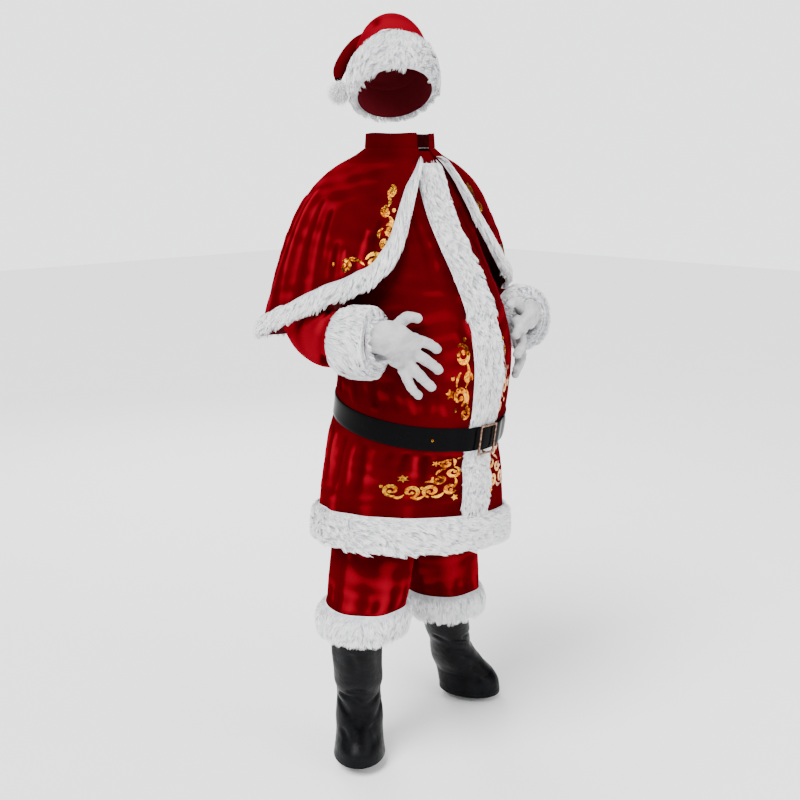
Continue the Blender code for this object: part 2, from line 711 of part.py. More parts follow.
def add_cape_trim(side, home):
    """Fur along the front edge and hem, from the cape's points and moved out."""
    angles = cape_angles(CAPE_COLUMNS)
    border, middle, edge = cape_heights(angles, CAPE_ROWS)[-3:]
    profile = ((edge, UNDER_FUR), (middle, UNDER_FUR), (border, UNDER_FUR), (border + 0.003, 0.006),
               (border * 0.8 + edge * 0.2, 0.0135), (middle, TRIM_THICK),
               (border * 0.2 + edge * 0.8, 0.0135), (edge - 0.004, 0.006))
    loops = [cape_out(angles, height, np.full(angles.shape, out)) for height, out in profile]
    sections = seam_eased(np.stack(loops), first=False).transpose(1, 0, 2)
    bar("cape_trim_fur_" + side, on_side(sections, side), FUR_LOOK, home)


def add_collar(home):
    """A plain stand collar on the cape's neck, open at the front."""
    angles = np.linspace(math.radians(14.0), math.tau - math.radians(14.0), 21)
    rows = ((SEAM_GAP, 0.0005), (COLLAR_TALL, -0.002))
    wide, deep = CAPE["wide"][-1], CAPE["deep"][-1]

    def ring(rise, out):
        return stack(-(wide + out) * np.sin(angles), -(deep + out) * np.cos(angles), CAPE_NECK + rise)

    outer = np.stack([ring(rise, out) for rise, out in rows])
    inner = np.stack([ring(rise, out - VELVET) for rise, out in rows])
    wall("collar", outer, inner, VELVET_LOOK, home)


# The breeches: front and back of each leg, gathered into fur cuffs below the knee

HIPS = table(
    "height wide  deep   back",
    (0.690, 0.194, 0.142, -0.004),
    (0.780, 0.190, 0.142, -0.006),
    (0.880, 0.178, 0.138, -0.008),
    (0.960, 0.168, 0.132, -0.010),
)
LEG_RIGHT = table(
    "height out_x   back_y  wide   deep",
    (0.387, -0.142, -0.013, 0.087, 0.089),
    (0.420, -0.140, -0.014, 0.091, 0.093),
    (0.453, -0.135, -0.019, 0.093, 0.095),
    (0.510, -0.127, -0.023, 0.096, 0.098),
    (0.600, -0.113, -0.024, 0.097, 0.101),
    (0.720, -0.105, -0.020, 0.098, 0.114),
    (0.815, -0.104, -0.012, 0.101, 0.122),
)
LEG_LEFT = table(
    "height out_x   back_y  wide   deep",
    (0.322, -0.199, 0.040, 0.086, 0.088),
    (0.357, -0.194, 0.037, 0.090, 0.092),
    (0.392, -0.186, 0.031, 0.095, 0.095),
    (0.470, -0.152, 0.006, 0.095, 0.097),
    (0.550, -0.122, -0.013, 0.094, 0.098),
    (0.610, -0.110, -0.020, 0.096, 0.102),
    (0.720, -0.105, -0.020, 0.098, 0.114),
    (0.815, -0.104, -0.012, 0.101, 0.122),
)
LEGS = {"right": LEG_RIGHT, "left": LEG_LEFT}
CROTCH = (0.715, 0.815)  # heights between which the seat divides into legs
LEG_ROWS = {
    "right": (0.387, 0.420, 0.453, 0.512, 0.590, 0.663, 0.727, 0.768, 0.810, 0.960),
    "left": (0.322, 0.357, 0.392, 0.470, 0.560, 0.650, 0.725, 0.765, 0.805, 0.960),
}
LEG_STEPS = 9
LEG_FOLDS = table(
    "angle depth  width",
    (60, 0.004, 16), (115, 0.005, 15), (165, 0.003, 16), (235, 0.002, 15), (290, 0.004, 16),
)


def breeches_form(side):
    """A form from the centre front (0) by the outer side (half) to the centre back (1)."""
    legs = LEGS[side]

    def form(part, height):
        swell = folds(LEG_FOLDS, math.tau * part, np.clip((0.70 - height) / 0.2, 0.0, 1.0))
        hip = stack(-column(HIPS, "wide", height) * np.sin(math.pi * part),
                    column(HIPS, "back", height) - column(HIPS, "deep", height) * np.cos(math.pi * part))
        wide, deep = column(legs, "wide", height) + swell, column(legs, "deep", height) + swell
        leg = stack(column(legs, "out_x", height) + wide * np.cos(math.tau * part),
                    column(legs, "back_y", height) - deep * np.sin(math.tau * part))
        share = np.clip((CROTCH[1] - height) / (CROTCH[1] - CROTCH[0]), 0.0, 1.0)[..., None]
        share = share ** 2 * (3 - 2 * share)
        plan = hip * (1 - share) + leg * share
        plan[..., 0] = np.minimum(plan[..., 0], 0.0)
        return stack(plan[..., 0], plan[..., 1], height)

    return form


def breeches_grid(side, parts, heights, out):
    """Moved out sideways only, so that the hem and waist stay level."""
    form = breeches_form(side)
    part, height = np.meshgrid(parts, heights)
    point = form(part, height)
    over = form(part - 0.002, height) - form(part + 0.002, height)
    normal = unit(np.cross(over, np.array((0.0, 0.0, 1.0))))
    return point + normal * out


def add_breeches(side, home):
    for name, start in (("front", 0.0), ("back", 0.5)):
        parts = start + np.linspace(0.5, 0.0, LEG_STEPS + 1)
        outer = seam_eased(breeches_grid(side, parts, LEG_ROWS[side], 0.0))
        inner = seam_eased(breeches_grid(side, parts, LEG_ROWS[side], -VELVET))
        wall(f"breeches_{name}_{side}", on_side(outer, side), on_side(inner, side), VELVET_LOOK, home)


def add_leg_cuff(side, home):
    parts = np.linspace(0.0, 1.0, 2 * LEG_STEPS, endpoint=False)
    low, middle, high = LEG_ROWS[side][:3]
    profile = ((low, UNDER_FUR), (middle, UNDER_FUR), (high, UNDER_FUR), (high + 0.003, 0.007),
               (high - 0.014, 0.017), (middle, 0.020), (low + 0.010, 0.018), (low - 0.008, 0.008))
    loops = [breeches_grid(side, parts, (height,), out)[0] for height, out in profile]
    bar("leg_cuff_fur_" + side, on_side(np.stack(loops, axis=1), side), FUR_LOOK, home, ring=True)


# The boot covers: open tubes over shin and instep

BOOT = table(
    "height out    wide   long",
    (0.030, 0.043, 0.065, 0.088),
    (0.060, 0.037, 0.061, 0.088),
    (0.090, 0.022, 0.059, 0.080),
    (0.120, 0.009, 0.060, 0.071),
    (0.155, 0.001, 0.057, 0.061),
    (0.195, 0.000, 0.055, 0.057),
    (0.225, 0.000, 0.060, 0.061),
    (0.270, 0.000, 0.060, 0.062),
    (0.350, 0.000, 0.062, 0.063),
    (0.410, 0.000, 0.062, 0.064),
)
SHINS = {
    "right": {"top": (-0.150, -0.001), "ankle": (-0.086, 0.058), "toe": 45.0},
    "left": {"top": (0.203, 0.050), "ankle": (0.333, 0.111), "toe": -21.6},
}
BOOT_TOP = {"right": 0.412, "left": 0.350}
BOOT_HEM = {"right": 0.030, "left": 0.020}
BOOT_ROWS = (0.060, 0.092, 0.125, 0.160, 0.195, 0.230, 0.300)
BOOT_SIDES = 16


def boot_form(side):
    shin = SHINS[side]
    heading = math.radians(shin["toe"])
    toe = np.array((-math.sin(heading), -math.cos(heading)))
    across = np.array((math.cos(heading), -math.sin(heading)))

    def form(turn, height):
        lean = np.clip((height - 0.08) / (BOOT_TOP[side] - 0.08), 0.0, 1.0)[..., None]
        centre = np.array(shin["ankle"]) * (1 - lean) + np.array(shin["top"]) * lean
        centre = centre + toe * column(BOOT, "out", height)[..., None]
        plan = (centre + across * (column(BOOT, "wide", height) * np.sin(turn))[..., None]
                + toe * (column(BOOT, "long", height) * np.cos(turn))[..., None])
        return stack(plan[..., 0], plan[..., 1], height)

    return form


def add_boot_cover(side, home):
    form = boot_form(side)
    rows = (BOOT_HEM[side], *BOOT_ROWS, BOOT_TOP[side])
    turn, height = np.meshgrid(np.linspace(0.0, math.tau, BOOT_SIDES, endpoint=False), rows)
    outer = form(turn, height)
    over = form(turn + 0.01, height) - form(turn - 0.01, height)
    normal = unit(np.cross(over, np.array((0.0, 0.0, 1.0))))
    inner = outer + normal * LEATHERETTE * np.sign(np.sum(normal * (outer.mean(axis=1, keepdims=True) - outer),
                                                          axis=-1, keepdims=True))
    wall("boot_cover_" + side, outer, inner, (BLACK, 0.45, 0.0), home, ring=True)


# The hat: a soft crown whose tip folds over to the right, a fur brim and a pompom

HAT = {"centre": (-0.012, 0.010, 1.665), "turn": 35.0, "lean": 29.0}
CROWN = table(
    "step right  back   up     wide   deep",
    (0, 0.000, 0.000, -0.042, 0.083, 0.101),
    (1, 0.000, 0.000, 0.000, 0.084, 0.102),
    (2, 0.000, 0.000, 0.042, 0.083, 0.101),
    (3, 0.000, 0.008, 0.070, 0.079, 0.094),
    (4, 0.001, 0.020, 0.095, 0.067, 0.078),
    (5, 0.010, 0.034, 0.112, 0.041, 0.050),
    (6, 0.038, 0.052, 0.124, 0.027, 0.030),
    (7, 0.069, 0.061, 0.114, 0.021, 0.025),
    (8, 0.095, 0.066, 0.088, 0.017, 0.020),
    (9, 0.112, 0.064, 0.056, 0.014, 0.014),
    (10, 0.116, 0.062, 0.032, 0.008, 0.008),
)
CROWN_STEPS = (0, 1, 2, 3, 4, 4.7, 5.4, 6.2, 7, 8, 9, 10)
CROWN_SIDES = 18
POMPOM = {"place": (0.116, 0.062, 0.003), "radius": 0.027}


def from_hat(local):
    """Points given to the right, back and up of the brim's centre, placed on the head."""
    lean, turn = math.radians(HAT["lean"]), math.radians(HAT["turn"])
    right, back, up = local[..., 0], local[..., 1], local[..., 2]
    rear = back * math.cos(lean) + up * math.sin(lean)
    rise = up * math.cos(lean) - back * math.sin(lean)
    x = -right * math.cos(turn) + rear * math.sin(turn)
    y = right * math.sin(turn) + rear * math.cos(turn)
    return stack(x, y, rise) + np.array(HAT["centre"])


def crown_path(step):
    return stack(column(CROWN, "right", step), column(CROWN, "back", step), column(CROWN, "up", step))


def crown_form(turn, step, out=0.0):
    """The crown in the hat's own directions; turn 0 is the right side."""
    before, after = np.clip(step - 0.4, 0, 10), np.clip(step + 0.4, 0, 10)
    tangent = unit(crown_path(after) - crown_path(before))
    reference = np.array((0.0, 1.0, 0.0))
    rear = unit(reference - np.sum(reference * tangent, axis=-1, keepdims=True) * tangent)
    side = np.cross(rear, tangent)
    wide = (column(CROWN, "wide", step) + out)[..., None]
    deep = (column(CROWN, "deep", step) + out)[..., None]
    return crown_path(step) + side * wide * np.cos(turn)[..., None] + rear * deep * np.sin(turn)[..., None]


def add_hat(home):
    turn, step = np.meshgrid(np.linspace(0.0, math.tau, CROWN_SIDES, endpoint=False), CROWN_STEPS)
    step = step.astype(float)
    wall("hat_crown", from_hat(crown_form(turn, step)), from_hat(crown_form(turn, step, -VELVET)),
         VELVET_LOOK, home, ring=True)
    ring = turn[0]
    profile = ((0.0, 0.0, UNDER_FUR), (1.0, 0.0, UNDER_FUR), (2.0, 0.0, UNDER_FUR), (2.0, 0.004, 0.009),
               (2.0, -0.010, 0.0165), (1.0, 0.0, 0.0185), (0.0, 0.010, 0.0165), (0.0, -0.004, 0.009))
    loops = [crown_form(ring, np.full(ring.shape, level), out) + np.array((0.0, 0.0, rise))
             for level, rise, out in profile]
    bar("hat_brim_fur", from_hat(np.stack(loops, axis=1)), FUR_LOOK, home, ring=True)
    add_pompom(home)


def add_pompom(home):
    work = bmesh.new()
    bmesh.ops.create_icosphere(work, subdivisions=2, radius=POMPOM["radius"])
    mesh = bpy.data.meshes.new("pompom_fur")
    work.to_mesh(mesh)
    work.free()
    mesh.materials.append(material("pompom_fur", WHITE, 0.95))
    mesh.shade_smooth()
    made = bpy.data.objects.new("pompom_fur", mesh)
    home.objects.link(made)
    made.location = Vector(from_hat(np.array(POMPOM["place"]))) - Vector((0.0, 0.0, HELD_HEIGHT))


def build():
    for old in list(bpy.data.objects):
        bpy.data.objects.remove(old, do_unlink=True)
    home, cutters = collection("santa_suit"), collection("cutters")
    add_jacket(home, cutters)
    add_hem_band(home)
    add_placket(home)
    add_belt(home)
    add_buckle(home, cutters)
    add_collar(home)
    add_hat(home)
    add_gloves(home, cutters)
    for side in ("right", "left"):
        add_sleeve(side, home)
        add_sleeve_cuff(side, home)
        add_cape(side, home)
        add_cape_trim(side, home)
        add_breeches(side, home)
        add_leg_cuff(side, home)
        add_boot_cover(side, home)


build()
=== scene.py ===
"""Santa suit: velvet pieces, fur trim, foil scrolls, patent belt, gloves and boot covers.

Metres, +Z up, the front faces -Y and the suit's right is -X. Heights in the tables are
taken from the floor, and the suit's origin lies on its shoulders.
"""

import math

import bpy
import numpy as np
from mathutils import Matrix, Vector


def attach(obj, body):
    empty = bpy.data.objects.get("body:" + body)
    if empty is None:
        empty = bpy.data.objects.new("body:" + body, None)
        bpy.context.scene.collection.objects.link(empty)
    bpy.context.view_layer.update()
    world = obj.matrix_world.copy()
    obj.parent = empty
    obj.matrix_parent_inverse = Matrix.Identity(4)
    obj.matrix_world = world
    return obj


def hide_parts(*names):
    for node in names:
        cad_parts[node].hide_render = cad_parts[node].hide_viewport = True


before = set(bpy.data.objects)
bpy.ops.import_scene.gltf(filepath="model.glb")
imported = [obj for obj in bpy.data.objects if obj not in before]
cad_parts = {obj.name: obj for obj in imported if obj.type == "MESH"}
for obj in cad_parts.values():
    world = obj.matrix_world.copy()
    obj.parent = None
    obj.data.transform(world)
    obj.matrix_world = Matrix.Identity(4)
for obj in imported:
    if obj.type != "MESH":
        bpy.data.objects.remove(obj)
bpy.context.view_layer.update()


# The jacket: two velvet fronts and a back, sewn at the sides and held in by the belt. The velvet
# is a thin knitted pile cloth, which creases softly and shines where its pile leans over; its
# colour also carries painted highlight on the ridges and painted shade in the troughs.

SHOULDERS = 1.44         # height of the origin above the floor
VELVET = 0.0016          # thickness of the velvet
SEAM = 0.0003            # gap between two panels at a seam
DROP = np.array((0.0, 0.0, SHOULDERS))
ALL_ROUND = (-math.tau, 0.0, math.tau)


def table(columns, *rows):
    """A table with named columns; the first column is the one that the others follow."""
    values = np.array(rows, float)
    return {name: values[:, place] for place, name in enumerate(columns.split())}


def smooth_curve(keys, values, at):
    """A smooth curve through the rows of a table, level past its ends."""
    slopes = np.gradient(values, keys)
    at = np.clip(np.asarray(at, float), keys[0], keys[-1])
    low = np.clip(np.searchsorted(keys, at, side="right") - 1, 0, len(keys) - 2)
    step = keys[low + 1] - keys[low]
    part = (at - keys[low]) / step
    rise = values[low + 1] - values[low]
    start, end = slopes[low] * step, slopes[low + 1] * step
    return (values[low] + part * start
            + part ** 2 * (3 * rise - 2 * start - end)
            + part ** 3 * (start + end - 2 * rise))


def column(tab, name, at):
    """One column of a table as a smooth curve of the first column."""
    return smooth_curve(next(iter(tab.values())), tab[name], at)


def stack(*parts):
    """Coordinates joined into points."""
    return np.stack(np.broadcast_arrays(*parts), axis=-1)


def unit(vectors):
    return vectors / np.linalg.norm(vectors, axis=-1, keepdims=True)


def moved_out(form, across, along, out, step=0.004):
    """Points of a form, moved out along its normal."""
    over = form(across + step, along) - form(across - step, along)
    up = form(across, along + step) - form(across, along - step)
    return form(across, along) + unit(np.cross(over, up)) * np.asarray(out)[..., None]


def ellipse(angle, square):
    """Sine and cosine of an angle, on a section that is squarer where square is over 2."""
    power = 2.0 / square
    sine, cosine = np.sin(angle), np.cos(angle)
    return (np.sign(sine) * np.abs(sine) ** power,
            np.sign(cosine) * np.abs(cosine) ** power)


def folds(tab, around, reach):
    """Height of broad upright folds that grow with reach."""
    total = 0.0
    for angle, depth, width in zip(tab["angle"], tab["depth"], tab["width"]):
        away = (around - math.radians(angle)) / math.radians(width)
        total = total + depth * np.exp(-away ** 2)
    return total * reach


def on_side(points, side):
    """Points worked out on the suit's right, for either side."""
    return points if side == "right" else points * np.array((-1.0, 1.0, 1.0))


def eased(value, low, high):
    """From 0 at low to 1 at high, smoothly."""
    part = np.clip((value - low) / (high - low), 0.0, 1.0)
    return part ** 2 * (3 - 2 * part)


def creased(turn, rise, radius, creases):
    """Soft troughs and ridges: each starts at one place and fades out towards another."""
    total = 0.0 * (turn + rise)
    for angle, start, end_angle, end, depth, width in creases:
        run = np.array((math.radians(end_angle - angle) * radius, end - start))
        length = math.hypot(*run)
        across, up = (turn - math.radians(angle)) * radius, rise - start
        part = (across * run[0] + up * run[1]) / length ** 2
        away = (across * run[1] - up * run[0]) / length + 0.06 * length * np.sin(math.pi * part)
        inside = np.clip(part, 0.0, 1.0)
        fade = 2.5 * inside ** 0.4 * (1.0 - inside) ** 1.2
        total = total + 0.0010 * depth * np.exp(-(away / (0.001 * width * (1 + 0.6 * inside))) ** 2) * fade
    return total


def creased_round(turn, rise, radius, creases):
    """The same on a tube, where a crease may run across the turn's start."""
    return sum(creased(turn + shift, rise, radius, creases) for shift in ALL_ROUND)


def rippled(turn, rise, depth):
    """The slight unevenness of cloth that has been folded and worn."""
    waves = (np.sin(turn * 23.0 + 5.0 * np.sin(rise * 31.0)) * np.sin(rise * 47.0 + 2.0)
             + 0.6 * np.sin(turn * 51.0 - rise * 60.0 + 1.0) * np.sin(rise * 88.0 + turn * 9.0))
    return depth * waves


def select_only(piece):
    bpy.ops.object.select_all(action="DESELECT")
    piece.select_set(True)
    bpy.context.view_layer.objects.active = piece


def apply_change(piece, kind, **settings):
    """A modifier, set and applied."""
    change = piece.modifiers.new(kind.title(), kind)
    for name, value in settings.items():
        setattr(change, name, value)
    select_only(piece)
    bpy.ops.object.modifier_apply(modifier=change.name)


def laid_grid(name, form, columns, rows, flat=(1.0, 1.0)):
    """A flat grid whose every point is placed by form, from its shares of width and length."""
    bpy.ops.object.select_all(action="DESELECT")
    bpy.ops.mesh.primitive_grid_add(x_subdivisions=columns, y_subdivisions=rows, size=1.0)
    piece = bpy.context.object
    piece.name = piece.data.name = name
    mesh = piece.data
    spots = np.empty(len(mesh.vertices) * 3)
    mesh.vertices.foreach_get("co", spots)
    share = spots.reshape(-1, 3)[:, :2] + 0.5
    points = form(share[:, 0], share[:, 1], 0.0) - DROP
    mesh.vertices.foreach_set("co", points.ravel())
    weave = np.empty(len(mesh.loops) * 2)
    mesh.uv_layers[0].uv.foreach_get("vector", weave)
    mesh.uv_layers[0].uv.foreach_set("vector", (weave.reshape(-1, 2) * np.array(flat)).ravel())
    mesh.update()
    return piece


def averaged(grid, reach):
    """A grid of points, each replaced by the mean of its neighbours within reach."""
    ring = np.allclose(grid[:, 0], grid[:, -1], atol=0.001)
    if ring:
        around = np.concatenate((grid[:, -1 - reach:-1], grid, grid[:, 1:1 + reach]), axis=1)
        grid_wide = np.pad(around, ((reach, reach), (0, 0), (0, 0)), mode="edge")
    else:
        grid_wide = np.pad(grid, ((reach, reach), (reach, reach), (0, 0)), mode="edge")
    total = np.zeros_like(grid)
    rows, columns = grid.shape[:2]
    for down in range(2 * reach + 1):
        for over in range(2 * reach + 1):
            total = total + grid_wide[down:down + rows, over:over + columns]
    return total / (2 * reach + 1) ** 2


def mark_folds_for_painted_light(piece, form, columns, rows):
    """Keeps on each point how far it stands out on ridges (plus) or sinks in troughs (minus), from which the
    velvet paints highlight and shade.
    """
    width, length = np.meshgrid(np.linspace(0.0, 1.0, columns + 1), np.linspace(0.0, 1.0, rows + 1))
    shape = (rows + 1, columns + 1, 3)
    grid = form(width.ravel(), length.ravel(), 0.0).reshape(shape)
    outward = unit(form(width.ravel(), length.ravel(), 0.002).reshape(shape) - grid)
    stands = sum(np.sum((grid - averaged(grid, reach)) * outward, axis=-1) / scale
                 for reach, scale in ((3, 0.0020), (7, 0.0090)))
    border = np.minimum(np.minimum(length, 1.0 - length) * rows / 6.0, 1.0)
    if not np.allclose(grid[:, 0], grid[:, -1], atol=0.001):
        border = border * np.minimum(np.minimum(width, 1.0 - width) * columns / 4.0, 1.0)
    marks = np.tanh(stands) * border
    layer = piece.data.attributes.new("fold", "FLOAT", "POINT")
    layer.data.foreach_set("value", marks.ravel())


def face_outwards(piece, form):
    """Turns the faces over if they look inwards, as they do on a mirrored form."""
    middle = form(np.full(1, 0.5), np.full(1, 0.5), 0.0)[0] - DROP
    further = form(np.full(1, 0.5), np.full(1, 0.5), 0.01)[0] - DROP
    near = min(piece.data.polygons, key=lambda face: (face.center - Vector(middle)).length)
    if near.normal.dot(Vector(further - middle)) < 0.0:
        select_only(piece)
        bpy.ops.object.mode_set(mode="EDIT")
        bpy.ops.mesh.select_all(action="SELECT")
        bpy.ops.mesh.flip_normals()
        bpy.ops.object.mode_set(mode="OBJECT")


def merged(piece):
    """Joins the edges that meet, as on a tube."""
    select_only(piece)
    bpy.ops.object.mode_set(mode="EDIT")
    bpy.ops.mesh.select_all(action="SELECT")
    bpy.ops.mesh.remove_doubles(threshold=0.00002)
    bpy.ops.object.mode_set(mode="OBJECT")


def turn_out(piece):
    """Turns every face of a closed piece outwards."""
    select_only(piece)
    bpy.ops.object.mode_set(mode="EDIT")
    bpy.ops.mesh.select_all(action="SELECT")
    bpy.ops.mesh.normals_make_consistent(inside=False)
    bpy.ops.object.mode_set(mode="OBJECT")


def smooth(piece, degrees=50.0):
    select_only(piece)
    bpy.ops.object.shade_smooth_by_angle(angle=math.radians(degrees))


def cloth(name, form, columns, rows, flat, looks, wall=VELVET):
    """A piece of cloth: its outer face follows form, and its thickness lies inside."""
    piece = laid_grid(name, form, columns, rows, flat)
    mark_folds_for_painted_light(piece, form, columns, rows)
    merged(piece)
    face_outwards(piece, form)
    for look in looks:
        piece.data.materials.append(look)
    apply_change(piece, "SOLIDIFY", thickness=wall, offset=-1.0, material_offset=len(looks) - 1)
    smooth(piece)
    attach(piece, "root")
    return piece


class Value:
    """A value that varies over a surface; sums and products of it become nodes."""

    def __init__(self, finish, socket):
        self.finish, self.socket = finish, socket

    def worked(self, operation, first, second):
        return self.finish.node("ShaderNodeMath", {"operation": operation}, {0: first, 1: second})

    def __add__(self, other):
        return self.worked("ADD", self, other)

    def __mul__(self, other):
        return self.worked("MULTIPLY", self, other)

    def __rsub__(self, other):
        return self.worked("SUBTRACT", other, self)

    def __rmul__(self, other):
        return self.worked("MULTIPLY", other, self)


class Finish:
    """A material of nodes round one shader; steady values sit on the shader itself."""

    def __init__(self, name, **steady):
        self.material = bpy.data.materials.new(name)
        self.material.use_nodes = True
        self.tree = self.material.node_tree
        self.shader = self.tree.nodes["Principled BSDF"]
        for socket, value in steady.items():
            self.shader.inputs[socket.replace("_", " ").title().replace("Ior", "IOR")].default_value = value

    def node(self, kind, settings, sockets, gives=0):
        """A node of a type, its settings, the values or links of its sockets, and what it gives."""
        made = self.tree.nodes.new(kind)
        for name, value in settings.items():
            setattr(made, name, value)
        for place, value in sockets.items():
            if isinstance(value, Value):
                self.tree.links.new(value.socket, made.inputs[place])
            else:
                made.inputs[place].default_value = value
        return Value(self, made.outputs[gives])

    def noise(self, scale, detail=2.0, stretch=(1.0, 1.0, 1.0), on="Object"):
        spot = self.node("ShaderNodeTexCoord", {}, {}, on)
        spot = self.node("ShaderNodeMapping", {}, {"Vector": spot, "Scale": stretch})
        return self.node("ShaderNodeTexNoise", {}, {"Vector": spot, "Scale": scale, "Detail": detail})

    def ranged(self, value, low, high, start=0.0, end=1.0):
        """A value spread from low..high to start..end, and held level past them."""
        ends = {"Value": value, "From Min": low, "From Max": high, "To Min": start, "To Max": end}
        return self.node("ShaderNodeMapRange", {}, ends)

    def blended(self, first, second, share):
        """A colour between two others."""
        return self.node("ShaderNodeMix", {"data_type": "RGBA"}, {0: share, 6: first, 7: second}, 2)

    def raised(self, height, depth, under=None):
        """A bump of a depth in metres, over the bump under it."""
        sockets = {"Height": height, "Distance": depth, "Strength": 1.0}
        if under:
            sockets["Normal"] = under
        return self.node("ShaderNodeBump", {}, sockets)

    def feed(self, **values):
        for socket, value in values.items():
            self.tree.links.new(value.socket, self.shader.inputs[socket.replace("_", " ")])


def velvet():
    """Crimson pile, darker in random patches where it is brushed, with painted highlight on the ridges of
    its folds and painted shade in their troughs.
    """
    finish = Finish("red_velvet", sheen_weight=0.16, sheen_roughness=0.24,
                    sheen_tint=(1.0, 0.03, 0.07, 1.0), specular_ior_level=0.0)
    stands = finish.node("ShaderNodeAttribute", {"attribute_name": "fold"}, {}, "Fac")
    streaks = finish.noise(9.0, 2.0, (1.0, 1.0, 0.25))
    patches = finish.noise(4.0, 2.0, (1.0, 1.0, 0.7))
    # Painted shade and highlight: the fold mark darkens the colour in troughs and lightens it on ridges; the
    # streaks and patches are random mottle.
    tone_with_painted_light = finish.ranged(stands * 0.14 + streaks * 0.50 + patches * 0.50, 0.30, 0.80)
    colour = finish.blended((0.028, 0.00004, 0.0010, 1.0), (0.098, 0.00015, 0.0034, 1.0), tone_with_painted_light)
    # Painted highlight: a bright scarlet laid over the colour where the cloth stands out on ridges.
    painted_ridge_highlight = finish.ranged(stands, 0.38, 1.0)
    colour = finish.blended(colour, (0.290, 0.0020, 0.0120, 1.0), 0.65 * painted_ridge_highlight)
    normal = finish.raised(finish.noise(60.0, 3.0, (1.0, 1.0, 0.5)), 0.0014)
    normal = finish.raised(finish.noise(1500.0, 1.0), 0.00025, normal)
    finish.feed(Base_Color=colour, Roughness=finish.ranged(tone_with_painted_light, 0.0, 1.0, 0.66, 0.52), Normal=normal)
    return finish.material


def velvet_back():
    """The dull knitted side of the velvet, seen inside the openings."""
    finish = Finish("velvet_back", specular_ior_level=0.15)
    loops = finish.noise(900.0, 1.0)
    colour = finish.blended((0.090, 0.001, 0.005, 1.0), (0.130, 0.002, 0.008, 1.0), loops)
    finish.feed(Base_Color=colour, Roughness=finish.ranged(loops, 0.0, 1.0, 0.8, 0.95),
                Normal=finish.raised(loops, 0.0003))
    return finish.material


CLOTH = (velvet(), velvet_back())

JACKET = table(
    "height wide  deep   forward tilt  sway  square",
    (0.588, 0.233, 0.197, 0.044, -0.075, -0.12, 2.0),
    (0.672, 0.231, 0.197, 0.044, -0.075, -0.12, 2.0),
    (0.765, 0.222, 0.199, 0.045, -0.03, -0.05, 2.0),
    (0.846, 0.208, 0.197, 0.046, 0.09, 0.00, 2.0),
    (0.885, 0.201, 0.196, 0.058, 0.158, 0.00, 2.0),
    (0.950, 0.203, 0.195, 0.070, 0.158, 0.00, 2.0),
    (1.000, 0.208, 0.193, 0.079, 0.11, 0.00, 2.0),
    (1.060, 0.211, 0.192, 0.082, 0.05, 0.00, 2.0),
    (1.137, 0.203, 0.178, 0.077, 0.00, 0.00, 2.0),
    (1.238, 0.186, 0.153, 0.053, 0.00, 0.00, 2.0),
    (1.295, 0.182, 0.134, 0.034, 0.00, 0.00, 2.1),
    (1.360, 0.182, 0.116, 0.012, 0.00, 0.00, 2.5),
    (1.420, 0.182, 0.104, 0.000, 0.00, 0.00, 2.6),
    (1.455, 0.160, 0.094, 0.000, 0.00, 0.00, 2.4),
    (1.482, 0.122, 0.084, 0.000, 0.00, 0.00, 2.2),
    (1.503, 0.0885, 0.0765, 0.000, 0.00, 0.00, 2.0),
)
SKIRT_FOLDS = table(
    "angle depth  width",
    (-158, 0.007, 11), (-126, 0.009, 10), (-96, 0.010, 9), (-70, 0.006, 8), (-44, 0.005, 8),
    (40, 0.005, 9), (66, 0.008, 9), (94, 0.009, 10), (124, 0.008, 10), (152, 0.008, 10),
    (180, 0.006, 11),
)
SKIRT_TOP = 0.86
HEM, NECK, WAIST = 0.588, 1.503, 0.921
JACKET_RADIUS = 0.21
